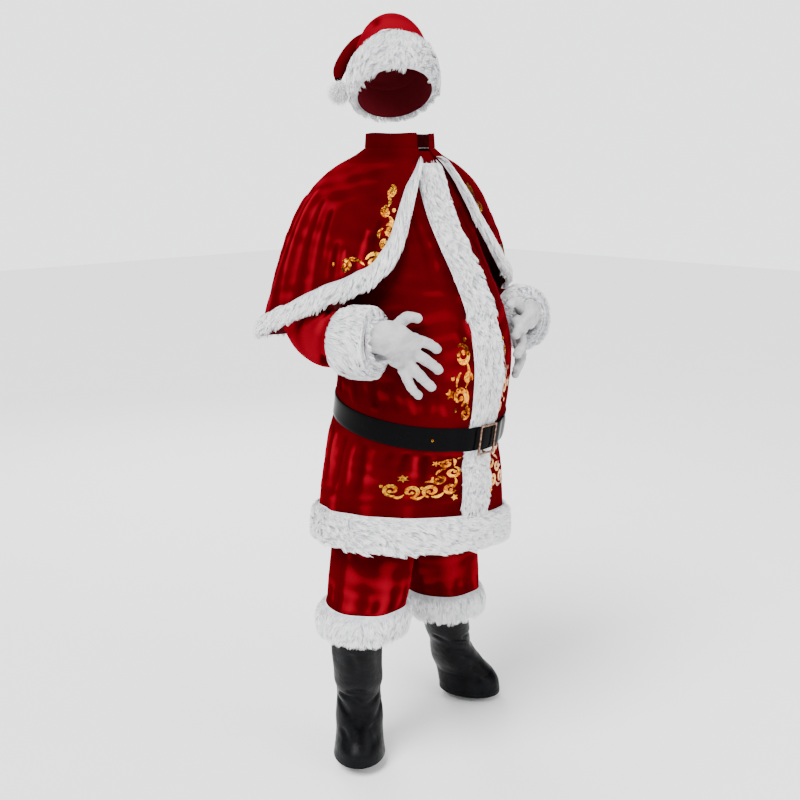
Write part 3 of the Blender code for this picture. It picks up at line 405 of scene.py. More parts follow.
# angle, height, end angle, end height, depth and width in millimetres; minus is a trough
JACKET_CREASES = (
    (-20, 1.40, -36, 1.20, -4.0, 11), (-30, 1.41, -48, 1.22, 3.0, 12), (-14, 1.37, -24, 1.15, -2.5, 13),
    (-52, 1.38, -60, 1.20, -4.0, 12), (18, 1.38, 34, 1.18, -3.5, 12), (44, 1.40, 52, 1.20, -3.0, 13),
    (-14, 1.145, -8, 1.06, 2.0, 9), (-20, 1.13, -12, 1.05, -2.0, 8), (15, 1.13, 24, 1.02, -2.0, 11),
    (-22, 0.968, -19, 1.05, -1.1, 7), (-30, 0.968, -33, 1.01, 0.9, 7), (-42, 0.968, -40, 1.02, -1.4, 7),
    (-49, 0.968, -54, 1.04, 1.1, 8), (-60, 0.968, -66, 1.03, -1.4, 9), (-76, 0.968, -78, 1.05, -3.5, 10),
    (-92, 0.968, -95, 1.06, -3.5, 10), (26, 0.968, 22, 1.03, -1.1, 8), (38, 0.968, 41, 1.02, -1.4, 8),
    (57, 0.968, 60, 1.05, -1.4, 9), (78, 0.968, 82, 1.04, -3.5, 10), (102, 0.968, 100, 1.07, -3.5, 11),
    (128, 0.968, 132, 1.06, -4.0, 11), (149, 0.968, 146, 1.09, -4.0, 12), (171, 0.968, 174, 1.05, -3.5, 11),
    (198, 0.968, 194, 1.10, -4.0, 12), (222, 0.968, 226, 1.05, -4.0, 11), (246, 0.968, 244, 1.08, -3.5, 11),
    (-24, 0.876, -20, 0.81, -1.1, 7), (-33, 0.876, -31, 0.78, 1.1, 8), (-39, 0.876, -38, 0.75, -4.5, 7),
    (-45, 0.876, -44, 0.77, 4.0, 8), (-51, 0.876, -53, 0.79, -4.5, 7), (-60, 0.876, -66, 0.80, -1.4, 9),
    (-72, 0.876, -74, 0.74, 1.4, 10), (-80, 0.876, -81, 0.70, -5.0, 9), (-88, 0.876, -91, 0.69, 5.0, 9),
    (-99, 0.876, -101, 0.70, -6.0, 9), (-109, 0.876, -108, 0.72, 4.0, 10),
    (-117, 0.876, -120, 0.69, -5.5, 10),
    (22, 0.876, 26, 0.79, -1.1, 8), (34, 0.876, 36, 0.75, -1.8, 8), (46, 0.876, 44, 0.78, 1.4, 9),
    (58, 0.876, 62, 0.72, -2.0, 9), (76, 0.876, 79, 0.70, -5.0, 10), (89, 0.876, 90, 0.74, 4.0, 10),
    (103, 0.876, 107, 0.69, -5.5, 10), (121, 0.876, 119, 0.71, -4.0, 11), (138, 0.876, 141, 0.69, -5.5, 11),
    (154, 0.876, 153, 0.75, 3.5, 10), (169, 0.876, 173, 0.70, -5.0, 11), (190, 0.876, 188, 0.72, -4.5, 10),
    (207, 0.876, 211, 0.69, -5.5, 11), (228, 0.876, 226, 0.73, -4.0, 10),
)


def jacket_form(angle, height):
    """The jacket's outer face; angle 0 is the centre front, plus is towards the suit's left."""
    sine, cosine = ellipse(angle, column(JACKET, "square", height))
    reach = np.clip((SKIRT_TOP - height) / 0.20, 0.0, 1.2)
    fold = folds(SKIRT_FOLDS, angle, reach) + folds(SKIRT_FOLDS, angle - math.tau, reach)
    across = (column(JACKET, "wide", height) + fold) * sine
    forward = -column(JACKET, "forward", height) - (column(JACKET, "deep", height) + fold) * cosine
    slant = column(JACKET, "tilt", height) * forward + column(JACKET, "sway", height) * across
    return stack(across, forward, height + slant)


def jacket_cloth(angle, height, out=0.0):
    """The creased cloth, left plain under the belt, the fur and at the neck."""
    free = eased(np.abs(height - WAIST), 0.034, 0.052)
    free = free * eased(height, 0.672, 0.70) * (1.0 - eased(height, 1.42, 1.47))
    crease = creased_round(angle, height, JACKET_RADIUS, JACKET_CREASES)
    level = crease + rippled(angle * JACKET_RADIUS, height, 0.0005)
    return moved_out(jacket_form, angle, height, level * free + out)


def jacket_panel(start, end):
    """The form of a panel between two angles, from the hem to the neck."""
    def form(width, length, out):
        turn = start + (end - start) * width
        return jacket_cloth(turn, HEM + (NECK - HEM) * length, out)
    return form


ARM_RING = {"back": 0.002, "height": 1.342, "deep": 0.060, "tall": 0.072}


def cut_armhole(piece, inside=0.10):
    """Takes out the faces inside the armhole's oval and draws the rim onto the oval."""
    mesh = piece.data

    def reach(spot):
        return math.hypot((spot.y - ARM_RING["back"]) / ARM_RING["deep"],
                          (spot.z + SHOULDERS - ARM_RING["height"]) / ARM_RING["tall"])

    select_only(piece)
    bpy.ops.object.mode_set(mode="EDIT")
    bpy.ops.mesh.select_all(action="DESELECT")
    bpy.ops.object.mode_set(mode="OBJECT")
    for face in mesh.polygons:
        face.select = all(reach(mesh.vertices[at].co) < 1.0 and abs(mesh.vertices[at].co.x) > inside
                          for at in face.vertices)
    bpy.ops.object.mode_set(mode="EDIT")
    bpy.ops.mesh.delete(type="FACE")
    bpy.ops.object.mode_set(mode="OBJECT")
    for spot in mesh.vertices:
        share = reach(spot.co)
        if share < 1.0 and abs(spot.co.x) > inside:
            spot.co.y = ARM_RING["back"] + (spot.co.y - ARM_RING["back"]) / share
            spot.co.z = ARM_RING["height"] - SHOULDERS + (spot.co.z + SHOULDERS - ARM_RING["height"]) / share


def jacket_piece(name, start, end, columns, flat):
    form = jacket_panel(start, end)
    piece = laid_grid(name, form, columns, 150, flat)
    mark_folds_for_painted_light(piece, form, columns, 150)
    face_outwards(piece, form)
    cut_armhole(piece)
    for look in CLOTH:
        piece.data.materials.append(look)
    apply_change(piece, "SOLIDIFY", thickness=VELVET, offset=-1.0, material_offset=1)
    smooth(piece)
    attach(piece, "root")
    return piece


EDGE = SEAM / 2 / JACKET_RADIUS
front_right = jacket_piece("jacket_front_right_cloth", -math.pi / 2 + EDGE, -EDGE, 76, (0.34, 0.92))
front_left = jacket_piece("jacket_front_left_cloth", EDGE, math.pi / 2 - EDGE, 76, (0.34, 0.92))
back = jacket_piece("jacket_back_cloth", math.pi / 2 + EDGE, 1.5 * math.pi - EDGE, 130, (0.66, 0.92))
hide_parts("jacket_front_right")
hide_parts("jacket_front_left")
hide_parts("jacket_back")


# The sleeves: one piece of velvet each, sewn into a tube under the arm and set into the armholes.
# They bend at the elbow, where the cloth gathers, and end inside the fur cuffs.

SLEEVE = table(
    "along out_x   back_y  height  thin    broad",
    (0.00, -0.200, 0.002, 1.340, 0.058, 0.068),
    (0.14, -0.238, 0.006, 1.318, 0.049, 0.068),
    (0.28, -0.255, 0.018, 1.262, 0.043, 0.070),
    (0.42, -0.263, 0.026, 1.205, 0.045, 0.071),
    (0.54, -0.267, 0.018, 1.156, 0.048, 0.070),
    (0.64, -0.273, -0.014, 1.122, 0.049, 0.067),
    (0.76, -0.280, -0.068, 1.111, 0.048, 0.062),
    (0.88, -0.276, -0.126, 1.110, 0.047, 0.059),
    (1.00, -0.252, -0.180, 1.112, 0.049, 0.057),
)
SLEEVE_FOLDS = table(
    "along turn  depth   width",
    (0.40, 40, -0.0040, 0.045), (0.53, 20, -0.0060, 0.04), (0.66, 30, -0.0045, 0.04),
    (0.58, 200, 0.0030, 0.06), (0.74, 250, 0.0030, 0.05),
)
SET_IN = 0.24            # share of the length over which the sleeve leaves its armhole
SLEEVE_LONG = 0.50
# turn, metres along the sleeve, end turn, end, depth and width in millimetres
SLEEVE_CREASES = (
    (60, 0.27, 120, 0.22, -5.4, 8), (40, 0.31, 110, 0.30, -6.3, 8), (70, 0.34, 140, 0.37, -5.4, 8),
    (330, 0.26, 270, 0.20, -4.5, 8), (350, 0.30, 290, 0.31, -4.5, 8), (90, 0.37, 150, 0.41, -4.5, 7),
    (170, 0.30, 230, 0.26, 3.6, 10), (150, 0.22, 190, 0.12, 3.6, 12), (110, 0.40, 170, 0.39, 3.6, 8),
    (210, 0.41, 260, 0.36, -4.5, 8), (300, 0.41, 330, 0.36, -4.5, 8), (20, 0.41, 40, 0.37, -3.6, 7),
)


def tube_frame(path, along, reference):
    """Centre and two cross directions of a bent tube."""
    centre = path(along)
    tangent = unit(path(along + 0.01) - path(along - 0.01))
    first = unit(reference - np.sum(reference * tangent, axis=-1, keepdims=True) * tangent)
    return centre, first, np.cross(tangent, first)


def sleeve_path(along):
    ahead = np.clip(along, 0.0, 1.0)
    beyond = (along - ahead)[..., None]
    centre = stack(column(SLEEVE, "out_x", ahead), column(SLEEVE, "back_y", ahead),
                   column(SLEEVE, "height", ahead))
    ends = np.where(along[..., None] < 0.5, np.array((-0.27, 0.04, -0.23)), np.array((0.08, -0.46, 0.02)))
    return centre + beyond * ends


def jacket_side(back_y, height):
    """How far out the jacket's side lies."""
    square = column(JACKET, "square", height)
    share = np.abs((back_y + column(JACKET, "forward", height)) / column(JACKET, "deep", height))
    return column(JACKET, "wide", height) * (1.0 - np.minimum(share, 1.0) ** square) ** (1.0 / square)


def sleeve_form(turn, along, out=0.0):
    """The right sleeve; turn 0 is the side towards the jacket, a quarter turn the front."""
    centre, inward, forward = tube_frame(sleeve_path, along, np.array((1.0, 0.0, 0.0)))
    swell = 0.0 * turn + out
    for place, facing, depth, width in zip(*SLEEVE_FOLDS.values()):
        towards = (1 + np.cos(turn - math.radians(facing))) / 2
        swell = swell + depth * towards ** 2 * np.exp(-((along - place) / width) ** 2)
    thin = (column(SLEEVE, "thin", along) + swell)[..., None]
    broad = (column(SLEEVE, "broad", along) + swell)[..., None]
    tube = centre + inward * thin * np.cos(turn)[..., None] + forward * broad * np.sin(turn)[..., None]
    seam_y = ARM_RING["back"] - (ARM_RING["deep"] + 0.006 + out) * np.sin(turn)
    seam_z = ARM_RING["height"] - (ARM_RING["tall"] + 0.006 + out) * np.cos(turn)
    ring = stack(-jacket_side(seam_y, seam_z) - 0.0022, seam_y, seam_z)
    part = eased(along, 0.0, SET_IN)[..., None]
    return ring * (1 - part) + tube * part


def sleeve_cloth(side):
    def form(width, length, out):
        turn = math.tau * width
        free = eased(length, 0.12, 0.3) * (1.0 - eased(length, 0.80, 0.835))
        crease = creased_round(turn, length * SLEEVE_LONG, 0.058, SLEEVE_CREASES)
        level = (crease + rippled(turn * 0.06, length * SLEEVE_LONG, 0.0005)) * free
        return on_side(sleeve_form(turn, length, level + out), side)
    return form


for side in ("right", "left"):
    cloth(f"sleeve_{side}_cloth", sleeve_cloth(side), 72, 100, (0.38, 0.50), CLOTH)
    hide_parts("sleeve_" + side)


# The cape: two velvet halves with a seam down the centre back, hanging from the shoulders over the
# arms in soft upright folds, rounded at the front corners. A plain stand collar is sewn to its neck.

CAPE = table(
    "height wide  deep   back   square",
    (1.040, 0.336, 0.194, 0.036, 2.4),
    (1.100, 0.330, 0.186, 0.034, 2.4),
    (1.180, 0.323, 0.177, 0.024, 2.4),
    (1.270, 0.305, 0.164, 0.010, 2.4),
    (1.340, 0.278, 0.147, 0.010, 2.4),
    (1.400, 0.246, 0.129, 0.008, 2.4),
    (1.445, 0.200, 0.115, 0.006, 2.4),
    (1.475, 0.150, 0.102, 0.004, 2.3),
    (1.495, 0.106, 0.088, 0.002, 2.1),
    (1.510, 0.083, 0.077, 0.000, 2.0),
)
CAPE_EDGE = table(
    "angle height",
    (12, 1.468), (16, 1.400), (21, 1.335), (27, 1.278), (35, 1.236), (47, 1.208), (64, 1.182),
    (84, 1.145), (104, 1.110), (128, 1.090), (155, 1.077), (180, 1.073),
)
CAPE_FOLDS = table(
    "angle depth   width",
    (44, 0.006, 5), (60, 0.008, 6), (75, 0.010, 6), (90, 0.008, 6), (106, 0.012, 7), (123, 0.010, 6),
    (141, 0.012, 7), (160, 0.010, 6), (180, 0.009, 7),
)
CAPE_NECK = 1.510
CAPE_OPEN, CAPE_BACK = math.radians(12.0), math.pi - 0.0005
CAPE_CREASES = {
    "right": (
        (34, 1.36, 40, 1.25, -3.5, 9), (42, 1.34, 47, 1.22, 3.0, 9), (50, 1.29, 46, 1.225, -3.5, 7),
        (56, 1.30, 53, 1.22, 3.0, 7), (62, 1.31, 60, 1.21, -4.0, 8), (72, 1.38, 70, 1.20, -4.5, 10),
        (84, 1.40, 81, 1.17, -5.0, 11), (95, 1.42, 92, 1.14, 4.5, 10), (101, 1.40, 99, 1.13, -6.0, 9),
        (112, 1.41, 111, 1.12, 5.0, 10), (119, 1.38, 117, 1.11, -6.0, 10), (133, 1.40, 132, 1.11, -6.0, 11),
        (148, 1.36, 150, 1.10, -5.0, 10), (157, 1.42, 158, 1.15, 4.0, 11), (170, 1.38, 169, 1.10, -5.0, 10),
    ),
    "left": (
        (30, 1.38, 38, 1.26, -3.5, 9), (45, 1.33, 50, 1.22, -3.5, 9), (54, 1.36, 57, 1.21, 3.0, 9),
        (66, 1.34, 68, 1.20, -4.5, 9), (79, 1.41, 78, 1.16, -5.0, 11), (90, 1.38, 88, 1.15, 4.0, 10),
        (98, 1.42, 97, 1.13, -6.0, 10), (114, 1.37, 116, 1.12, -6.0, 10), (126, 1.41, 125, 1.13, 5.0, 10),
        (136, 1.38, 137, 1.10, -6.0, 11), (153, 1.42, 151, 1.11, -5.5, 10), (166, 1.37, 168, 1.12, -4.5, 10),
    ),
}


def cape_form(angle, height):
    """The right half of the cape; angle 0 is the centre front."""
    sine, cosine = ellipse(angle, column(CAPE, "square", height))
    fold = folds(CAPE_FOLDS, angle, np.clip((1.40 - height) / 0.28, 0.0, 1.1) ** 1.4)
    across = -(column(CAPE, "wide", height) + fold) * sine
    back_y = column(CAPE, "back", height) - (column(CAPE, "deep", height) + fold) * cosine
    return stack(across, back_y, height)


def cape_cloth(side, angle, height, out=0.0):
    edge = column(CAPE_EDGE, "height", np.degrees(angle))
    free = eased(height - edge, 0.03, 0.06) * (1.0 - eased(height, 1.44, 1.48))
    crease = creased(angle, height, 0.30, CAPE_CREASES[side])
    level = (crease + rippled(angle * 0.3, height, 0.0006)) * free
    points = moved_out(lambda over, up: cape_form(-over, up), -angle, height, level + out)
    return on_side(points, side)


def cape_half(side):
    def form(width, length, out):
        angle = CAPE_BACK - (CAPE_BACK - CAPE_OPEN) * width
        edge = column(CAPE_EDGE, "height", np.degrees(angle))
        return cape_cloth(side, angle, edge + (CAPE_NECK - edge) * length, out)
    return form


for side in ("right", "left"):
    cloth(f"cape_{side}_cloth", cape_half(side), 170, 76, (0.80, 0.46), CLOTH)
    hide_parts("cape_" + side)


def collar_form(width, length, out):
    angle = math.radians(14.0) + (math.tau - math.radians(28.0)) * (1.0 - width)
    lean = 0.0005 - 0.0025 * length + out + 0.0004 * np.sin(angle * 17.0) * length
    rise = SEAM + 0.032 * length + 0.0008 * np.sin(angle * 5.0) * length
    return stack(-(0.083 + lean) * np.sin(angle), -(0.077 + lean) * np.cos(angle), CAPE_NECK + rise)


collar = cloth("collar_cloth", collar_form, 120, 8, (0.49, 0.032), CLOTH)
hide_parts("collar")


# The breeches: a front and a back of velvet for each leg, sewn at the outer side, the inner leg and
# the centre, and gathered by the elastic below the knee that the fur cuffs cover.

HIPS = table(
    "height wide  deep   back",
    (0.690, 0.194, 0.142, -0.004),
    (0.780, 0.190, 0.142, -0.006),
    (0.880, 0.178, 0.138, -0.008),
    (0.960, 0.168, 0.132, -0.010),
)
LEGS = {
    "right": table(
        "height out_x   back_y  wide   deep",
        (0.387, -0.142, -0.013, 0.087, 0.089),
        (0.420, -0.140, -0.014, 0.091, 0.093),
        (0.453, -0.135, -0.019, 0.093, 0.095),
        (0.510, -0.127, -0.023, 0.096, 0.098),
        (0.600, -0.113, -0.024, 0.097, 0.101),
        (0.720, -0.105, -0.020, 0.098, 0.114),
        (0.815, -0.104, -0.012, 0.101, 0.122),
    ),
    "left": table(
        "height out_x   back_y  wide   deep",
        (0.322, -0.199, 0.040, 0.086, 0.088),
        (0.357, -0.194, 0.037, 0.090, 0.092),
        (0.392, -0.186, 0.031, 0.095, 0.095),
        (0.470, -0.152, 0.006, 0.095, 0.097),
        (0.550, -0.122, -0.013, 0.094, 0.098),
        (0.610, -0.110, -0.020, 0.096, 0.102),
        (0.720, -0.105, -0.020, 0.098, 0.114),
        (0.815, -0.104, -0.012, 0.101, 0.122),
    ),
}
LEG_ENDS = {"right": (0.387, 0.420, 0.453), "left": (0.322, 0.357, 0.392)}
SEAT = (0.715, 0.815)    # heights between which the seat divides into legs
LEG_FOLDS = table(
    "angle depth  width",
    (60, 0.004, 16), (115, 0.005, 15), (165, 0.003, 16), (235, 0.002, 15), (290, 0.004, 16),
)
# turn from the inner leg by the front, height over the hem, and the same at the end
LEG_CREASES = {
    "right": (
        (70, 0.068, 74, 0.13, -1.8, 7), (86, 0.068, 84, 0.17, 1.8, 8), (97, 0.068, 100, 0.14, -2.1, 7),
        (112, 0.068, 116, 0.19, 1.8, 9), (124, 0.068, 123, 0.12, -2.1, 7), (142, 0.068, 147, 0.16, -1.8, 8),
        (160, 0.068, 158, 0.13, 1.5, 8), (178, 0.068, 182, 0.15, -2.1, 8), (205, 0.068, 203, 0.13, -1.8, 8),
        (232, 0.068, 236, 0.16, -2.1, 8), (262, 0.068, 260, 0.14, -1.8, 8), (292, 0.068, 296, 0.15, -2.1, 8),
        (322, 0.068, 320, 0.13, -1.8, 8), (350, 0.068, 352, 0.15, -1.8, 8), (30, 0.068, 33, 0.14, -1.8, 8),
        (168, 0.25, 140, 0.15, -2.1, 10), (60, 0.26, 78, 0.17, 1.8, 11), (100, 0.27, 108, 0.19, -1.5, 12),
        (215, 0.25, 240, 0.17, -1.8, 11), (300, 0.26, 280, 0.16, -2.1, 11),
    ),
    "left": (
        (66, 0.070, 70, 0.15, -1.8, 8), (88, 0.070, 86, 0.13, -2.1, 7), (104, 0.070, 107, 0.18, 1.8, 9),
        (119, 0.070, 118, 0.14, -2.1, 8), (140, 0.070, 144, 0.17, -1.8, 8), (158, 0.070, 157, 0.13, -1.8, 8),
        (184, 0.070, 188, 0.16, -2.1, 8), (214, 0.070, 212, 0.13, -1.8, 8), (243, 0.070, 247, 0.16, -2.1, 8),
        (272, 0.070, 270, 0.14, -1.8, 8), (303, 0.070, 306, 0.16, -2.1, 8), (338, 0.070, 336, 0.13, -1.8, 8),
        (12, 0.070, 15, 0.15, -1.8, 8), (40, 0.070, 42, 0.13, -1.5, 8), (80, 0.30, 60, 0.20, -1.8, 11),
        (130, 0.31, 150, 0.20, -2.1, 11), (240, 0.30, 220, 0.19, -1.8, 11),
    ),
}


def leg_plan(side, part, height):
    legs = LEGS[side]
    swell = folds(LEG_FOLDS, math.tau * part, np.clip((0.70 - height) / 0.2, 0.0, 1.0))
    hip = stack(-column(HIPS, "wide", height) * np.sin(math.pi * part),
                column(HIPS, "back", height) - column(HIPS, "deep", height) * np.cos(math.pi * part))
    wide, deep = column(legs, "wide", height) + swell, column(legs, "deep", height) + swell
    leg = stack(column(legs, "out_x", height) + wide * np.cos(math.tau * part),
                column(legs, "back_y", height) - deep * np.sin(math.tau * part))
    share = (1.0 - eased(height, *SEAT))[..., None]
    plan = hip * (1 - share) + leg * share
    return stack(np.minimum(plan[..., 0], 0.0), plan[..., 1], height)


def leg_form(side, part, height, out=0.0):
    """From the centre front (0) by the outer side (half) to the centre back (1)."""
    over = leg_plan(side, part - 0.002, height) - leg_plan(side, part + 0.002, height)
    normal = unit(np.cross(over, np.array((0.0, 0.0, 1.0))))
    return leg_plan(side, part, height) + normal * np.asarray(out)[..., None]


def breeches_panel(side, start):
    low, top = LEG_ENDS[side][0], 0.960

    def form(width, length, out):
        part = start + 0.5 - 0.0006 - 0.4988 * width
        height = low + (top - low) * length
        turn = math.tau * part
        above = height - low
        free = eased(above, 0.066, 0.078) * (1.0 - eased(height, 0.70, 0.76))
        level = creased_round(turn, above, 0.095, LEG_CREASES[side])
        level = (level + rippled(turn * 0.1, height, 0.0005)) * free
        return on_side(leg_form(side, part, height, level + out), side)
    return form


breeches = {}
for side in ("right", "left"):
    for panel, start in (("front", 0.0), ("back", 0.5)):
        node = f"breeches_{panel}_{side}"
        breeches[node] = cloth(node + "_cloth", breeches_panel(side, start), 64, 88, (0.33, 0.62), CLOTH)
        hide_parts(node)


# The hat: a velvet crown sewn into a soft cone, whose tip folds over to the suit's right and
# carries the pompom. The fur brim goes once round its edge.

HAT = {"centre": (-0.012, 0.010, 1.665), "turn": 35.0, "lean": 29.0}
CROWN = table(
    "step right  back   up     wide   deep",
    (0, 0.000, 0.000, -0.042, 0.083, 0.101),
    (1, 0.000, 0.000, 0.000, 0.084, 0.102),
    (2, 0.000, 0.000, 0.042, 0.083, 0.101),
    (3, 0.000, 0.008, 0.070, 0.079, 0.094),
    (4, 0.001, 0.020, 0.095, 0.067, 0.078),
    (5, 0.010, 0.034, 0.112, 0.041, 0.050),
    (6, 0.038, 0.052, 0.124, 0.027, 0.030),
    (7, 0.069, 0.061, 0.114, 0.021, 0.025),
    (8, 0.095, 0.066, 0.088, 0.017, 0.020),
    (9, 0.112, 0.064, 0.056, 0.014, 0.014),
    (10, 0.116, 0.062, 0.032, 0.008, 0.008),
)
CROWN_CREASES = (
    (20, 0.175, 60, 0.10, -3.5, 7), (350, 0.170, 330, 0.09, -3.0, 7), (45, 0.19, 95, 0.14, 2.5, 8),
    (320, 0.185, 280, 0.13, -3.0, 8), (0, 0.23, 8, 0.17, -2.5, 5), (180, 0.20, 200, 0.12, -2.5, 9),
    (140, 0.18, 120, 0.10, -2.5, 9), (230, 0.19, 245, 0.11, 2.5, 9), (80, 0.078, 90, 0.13, -2.0, 8),
    (30, 0.078, 36, 0.12, -2.0, 8), (300, 0.078, 306, 0.12, -2.0, 8), (170, 0.078, 165, 0.12, -2.0, 8),
)


def from_hat(local):
    """Points given to the right, back and up of the brim's centre, placed in the suit."""
    lean, turn = math.radians(HAT["lean"]), math.radians(HAT["turn"])
    right, back_y, up = local[..., 0], local[..., 1], local[..., 2]
    rear = back_y * math.cos(lean) + up * math.sin(lean)
    rise = up * math.cos(lean) - back_y * math.sin(lean)
    x = -right * math.cos(turn) + rear * math.sin(turn)
    y = right * math.sin(turn) + rear * math.cos(turn)
    return stack(x, y, rise) + np.array(HAT["centre"])


def crown_path(step):
    return stack(column(CROWN, "right", step), column(CROWN, "back", step), column(CROWN, "up", step))


def crown_form(turn, step, out=0.0):
    """The crown in the hat's own directions; turn 0 is the right side."""
    before, after = np.clip(step - 0.4, 0, 10), np.clip(step + 0.4, 0, 10)
    tangent = unit(crown_path(after) - crown_path(before))
    reference = np.array((0.0, 1.0, 0.0))
    rear = unit(reference - np.sum(reference * tangent, axis=-1, keepdims=True) * tangent)
    side_way = np.cross(rear, tangent)
    wide = (column(CROWN, "wide", step) + out)[..., None]
    deep = (column(CROWN, "deep", step) + out)[..., None]
    return (crown_path(step) + side_way * wide * np.cos(turn)[..., None]
            + rear * deep * np.sin(turn)[..., None])


def crown_cloth(width, length, out):
    turn, step = math.tau * width, 10.0 * length
    free = eased(step, 2.05, 2.6) * (1.0 - eased(step, 9.2, 10.0))
    level = creased_round(turn, step * 0.033, 0.06, CROWN_CREASES)
    level = level + rippled(turn * 0.08, step * 0.033, 0.0005)
    return from_hat(crown_form(turn, step, level * free * eased(10.5 - step, 0.0, 5.0) + out))


crown = cloth("hat_crown_cloth", crown_cloth, 96, 120, (0.54, 0.34), CLOTH)
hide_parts("hat_crown")


# The fur: long white pile on a knitted back, cut in bands, folded over the edges of the velvet and
# sewn on. Its hairs gather in locks that lie along each band and stand out past its edges.

rng = np.random.default_rng(12)


def white_fur():
    """White hair with painted shade: grey towards the root and cool grey between the locks, and whiter at
    random from hair to hair.
    """
    finish = Finish("white_fur", sheen_weight=0.25, sheen_roughness=0.4, specular_ior_level=0.35)
    spot = finish.node("ShaderNodeTexCoord", {}, {}, "UV")
    hair = finish.node("ShaderNodeSeparateXYZ", {}, {0: spot}, 0)
    tip = finish.node("ShaderNodeSeparateXYZ", {}, {0: spot}, 1)
    locks = finish.ranged(finish.noise(60.0, 2.0), 0.35, 0.65)
    # Painted shade: grey at the root of each hair, lightening to white towards its tip.
    shade = finish.blended((0.30, 0.31, 0.34, 1.0), (0.97, 0.97, 0.975, 1.0), finish.ranged(tip, 0.0, 0.55))
    # Painted shade: cool grey laid between the locks, where the noise is low.
    shade = finish.blended(shade, (0.66, 0.68, 0.72, 1.0), 0.40 * (1.0 - locks))
    shade = finish.blended(shade, (1.0, 1.0, 1.0, 1.0), 0.35 * hair)
    strands = finish.noise(420.0, 2.0, (1.0, 1.0, 0.3))
    finish.feed(Base_Color=shade, Roughness=finish.ranged(hair, 0.0, 1.0, 0.5, 0.75),
                Normal=finish.raised(strands, 0.0004))
    return finish.material


FUR = white_fur()
HAIR_STEPS = np.linspace(0.0, 1.0, 5)
UNDER = 0.0008           # the fur's back, just over the cloth


def fur_back(name, form, thick, columns, closed):
    """The band's body: a rounded section all along it, drawn together at any open ends."""
    def section(along, around, out):
        over = around < 0.5
        across = np.where(over, around * 2.0, (1.0 - around) * 2.0)
        round_off = 1.0 if closed else np.sqrt(np.clip(1.0 - np.abs(2.0 * along - 1.0) ** 24, 0.0, 1.0))
        crown_out = thick * np.sqrt(np.clip(1.0 - (2.0 * across - 1.0) ** 4, 0.0, 1.0)) * round_off
        level = np.where(over, UNDER + crown_out * 0.62, UNDER)
        return form(along, across, level + out)

    piece = laid_grid(name, section, columns, 18)
    merged(piece)
    turn_out(piece)
    # The body is given the colour a fifth of the way up a hair, grey with the painted root shade.
    weave = np.empty(len(piece.data.loops) * 2)
    piece.data.uv_layers[0].uv.foreach_get("vector", weave)
    weave = weave.reshape(-1, 2) * np.array((1.0, 0.0)) + np.array((0.0, 0.20))
    piece.data.uv_layers[0].uv.foreach_set("vector", weave.ravel())
    piece.data.materials.append(FUR)
    smooth(piece, 80.0)
    return piece


def hair_mesh(name, paths, outward, width):
    """Every hair as a flat tapering blade along its path, with its tip in one point."""
    count, steps = paths.shape[:2]
    tangent = unit(np.gradient(paths, axis=1))
    side_way = unit(np.cross(outward[:, None], tangent) + 0.6 * rng.normal(size=(count, 1, 3)))
    taper = np.array((0.75, 1.0, 0.85, 0.55))[:steps - 1]
    half = side_way[:, :-1] * (width[:, None] / 2 * taper)[..., None]
    left, right = paths[:, :-1] - half, paths[:, :-1] + half
    pairs = np.stack((left, right), axis=2).reshape(count, -1, 3)
    points = np.concatenate((pairs, paths[:, -1:]), axis=1)
    each = points.shape[1]
    quads = [(2 * at, 2 * at + 1, 2 * at + 3, 2 * at + 2) for at in range(steps - 2)]
    first = np.arange(count)[:, None, None] * each
    quads = (first + np.array(quads)[None]).reshape(-1, 4)
    tips = (first[:, 0] + np.array((each - 3, each - 2, each - 1))[None]).reshape(-1, 3)
    mesh = bpy.data.meshes.new(name)
    mesh.from_pydata(points.reshape(-1, 3) - DROP, [], quads.tolist() + tips.tolist())
    # Along each hair the second coordinate runs from root to tip; the fur paints its root shade from it.
    share = np.concatenate((np.repeat(HAIR_STEPS[:-1], 2), HAIR_STEPS[-1:]))
    tint = rng.random(count)
    spots = np.stack((np.repeat(tint, each), np.tile(share, count)), axis=-1)
    corners = np.empty(len(mesh.loops), int)
    mesh.loops.foreach_get("vertex_index", corners)
    layer = mesh.uv_layers.new(name="UVMap")
    layer.uv.foreach_set("vector", spots[corners].ravel())
    mesh.materials.append(FUR)
    made = bpy.data.objects.new(name, mesh)
    bpy.context.scene.collection.objects.link(made)
    return made


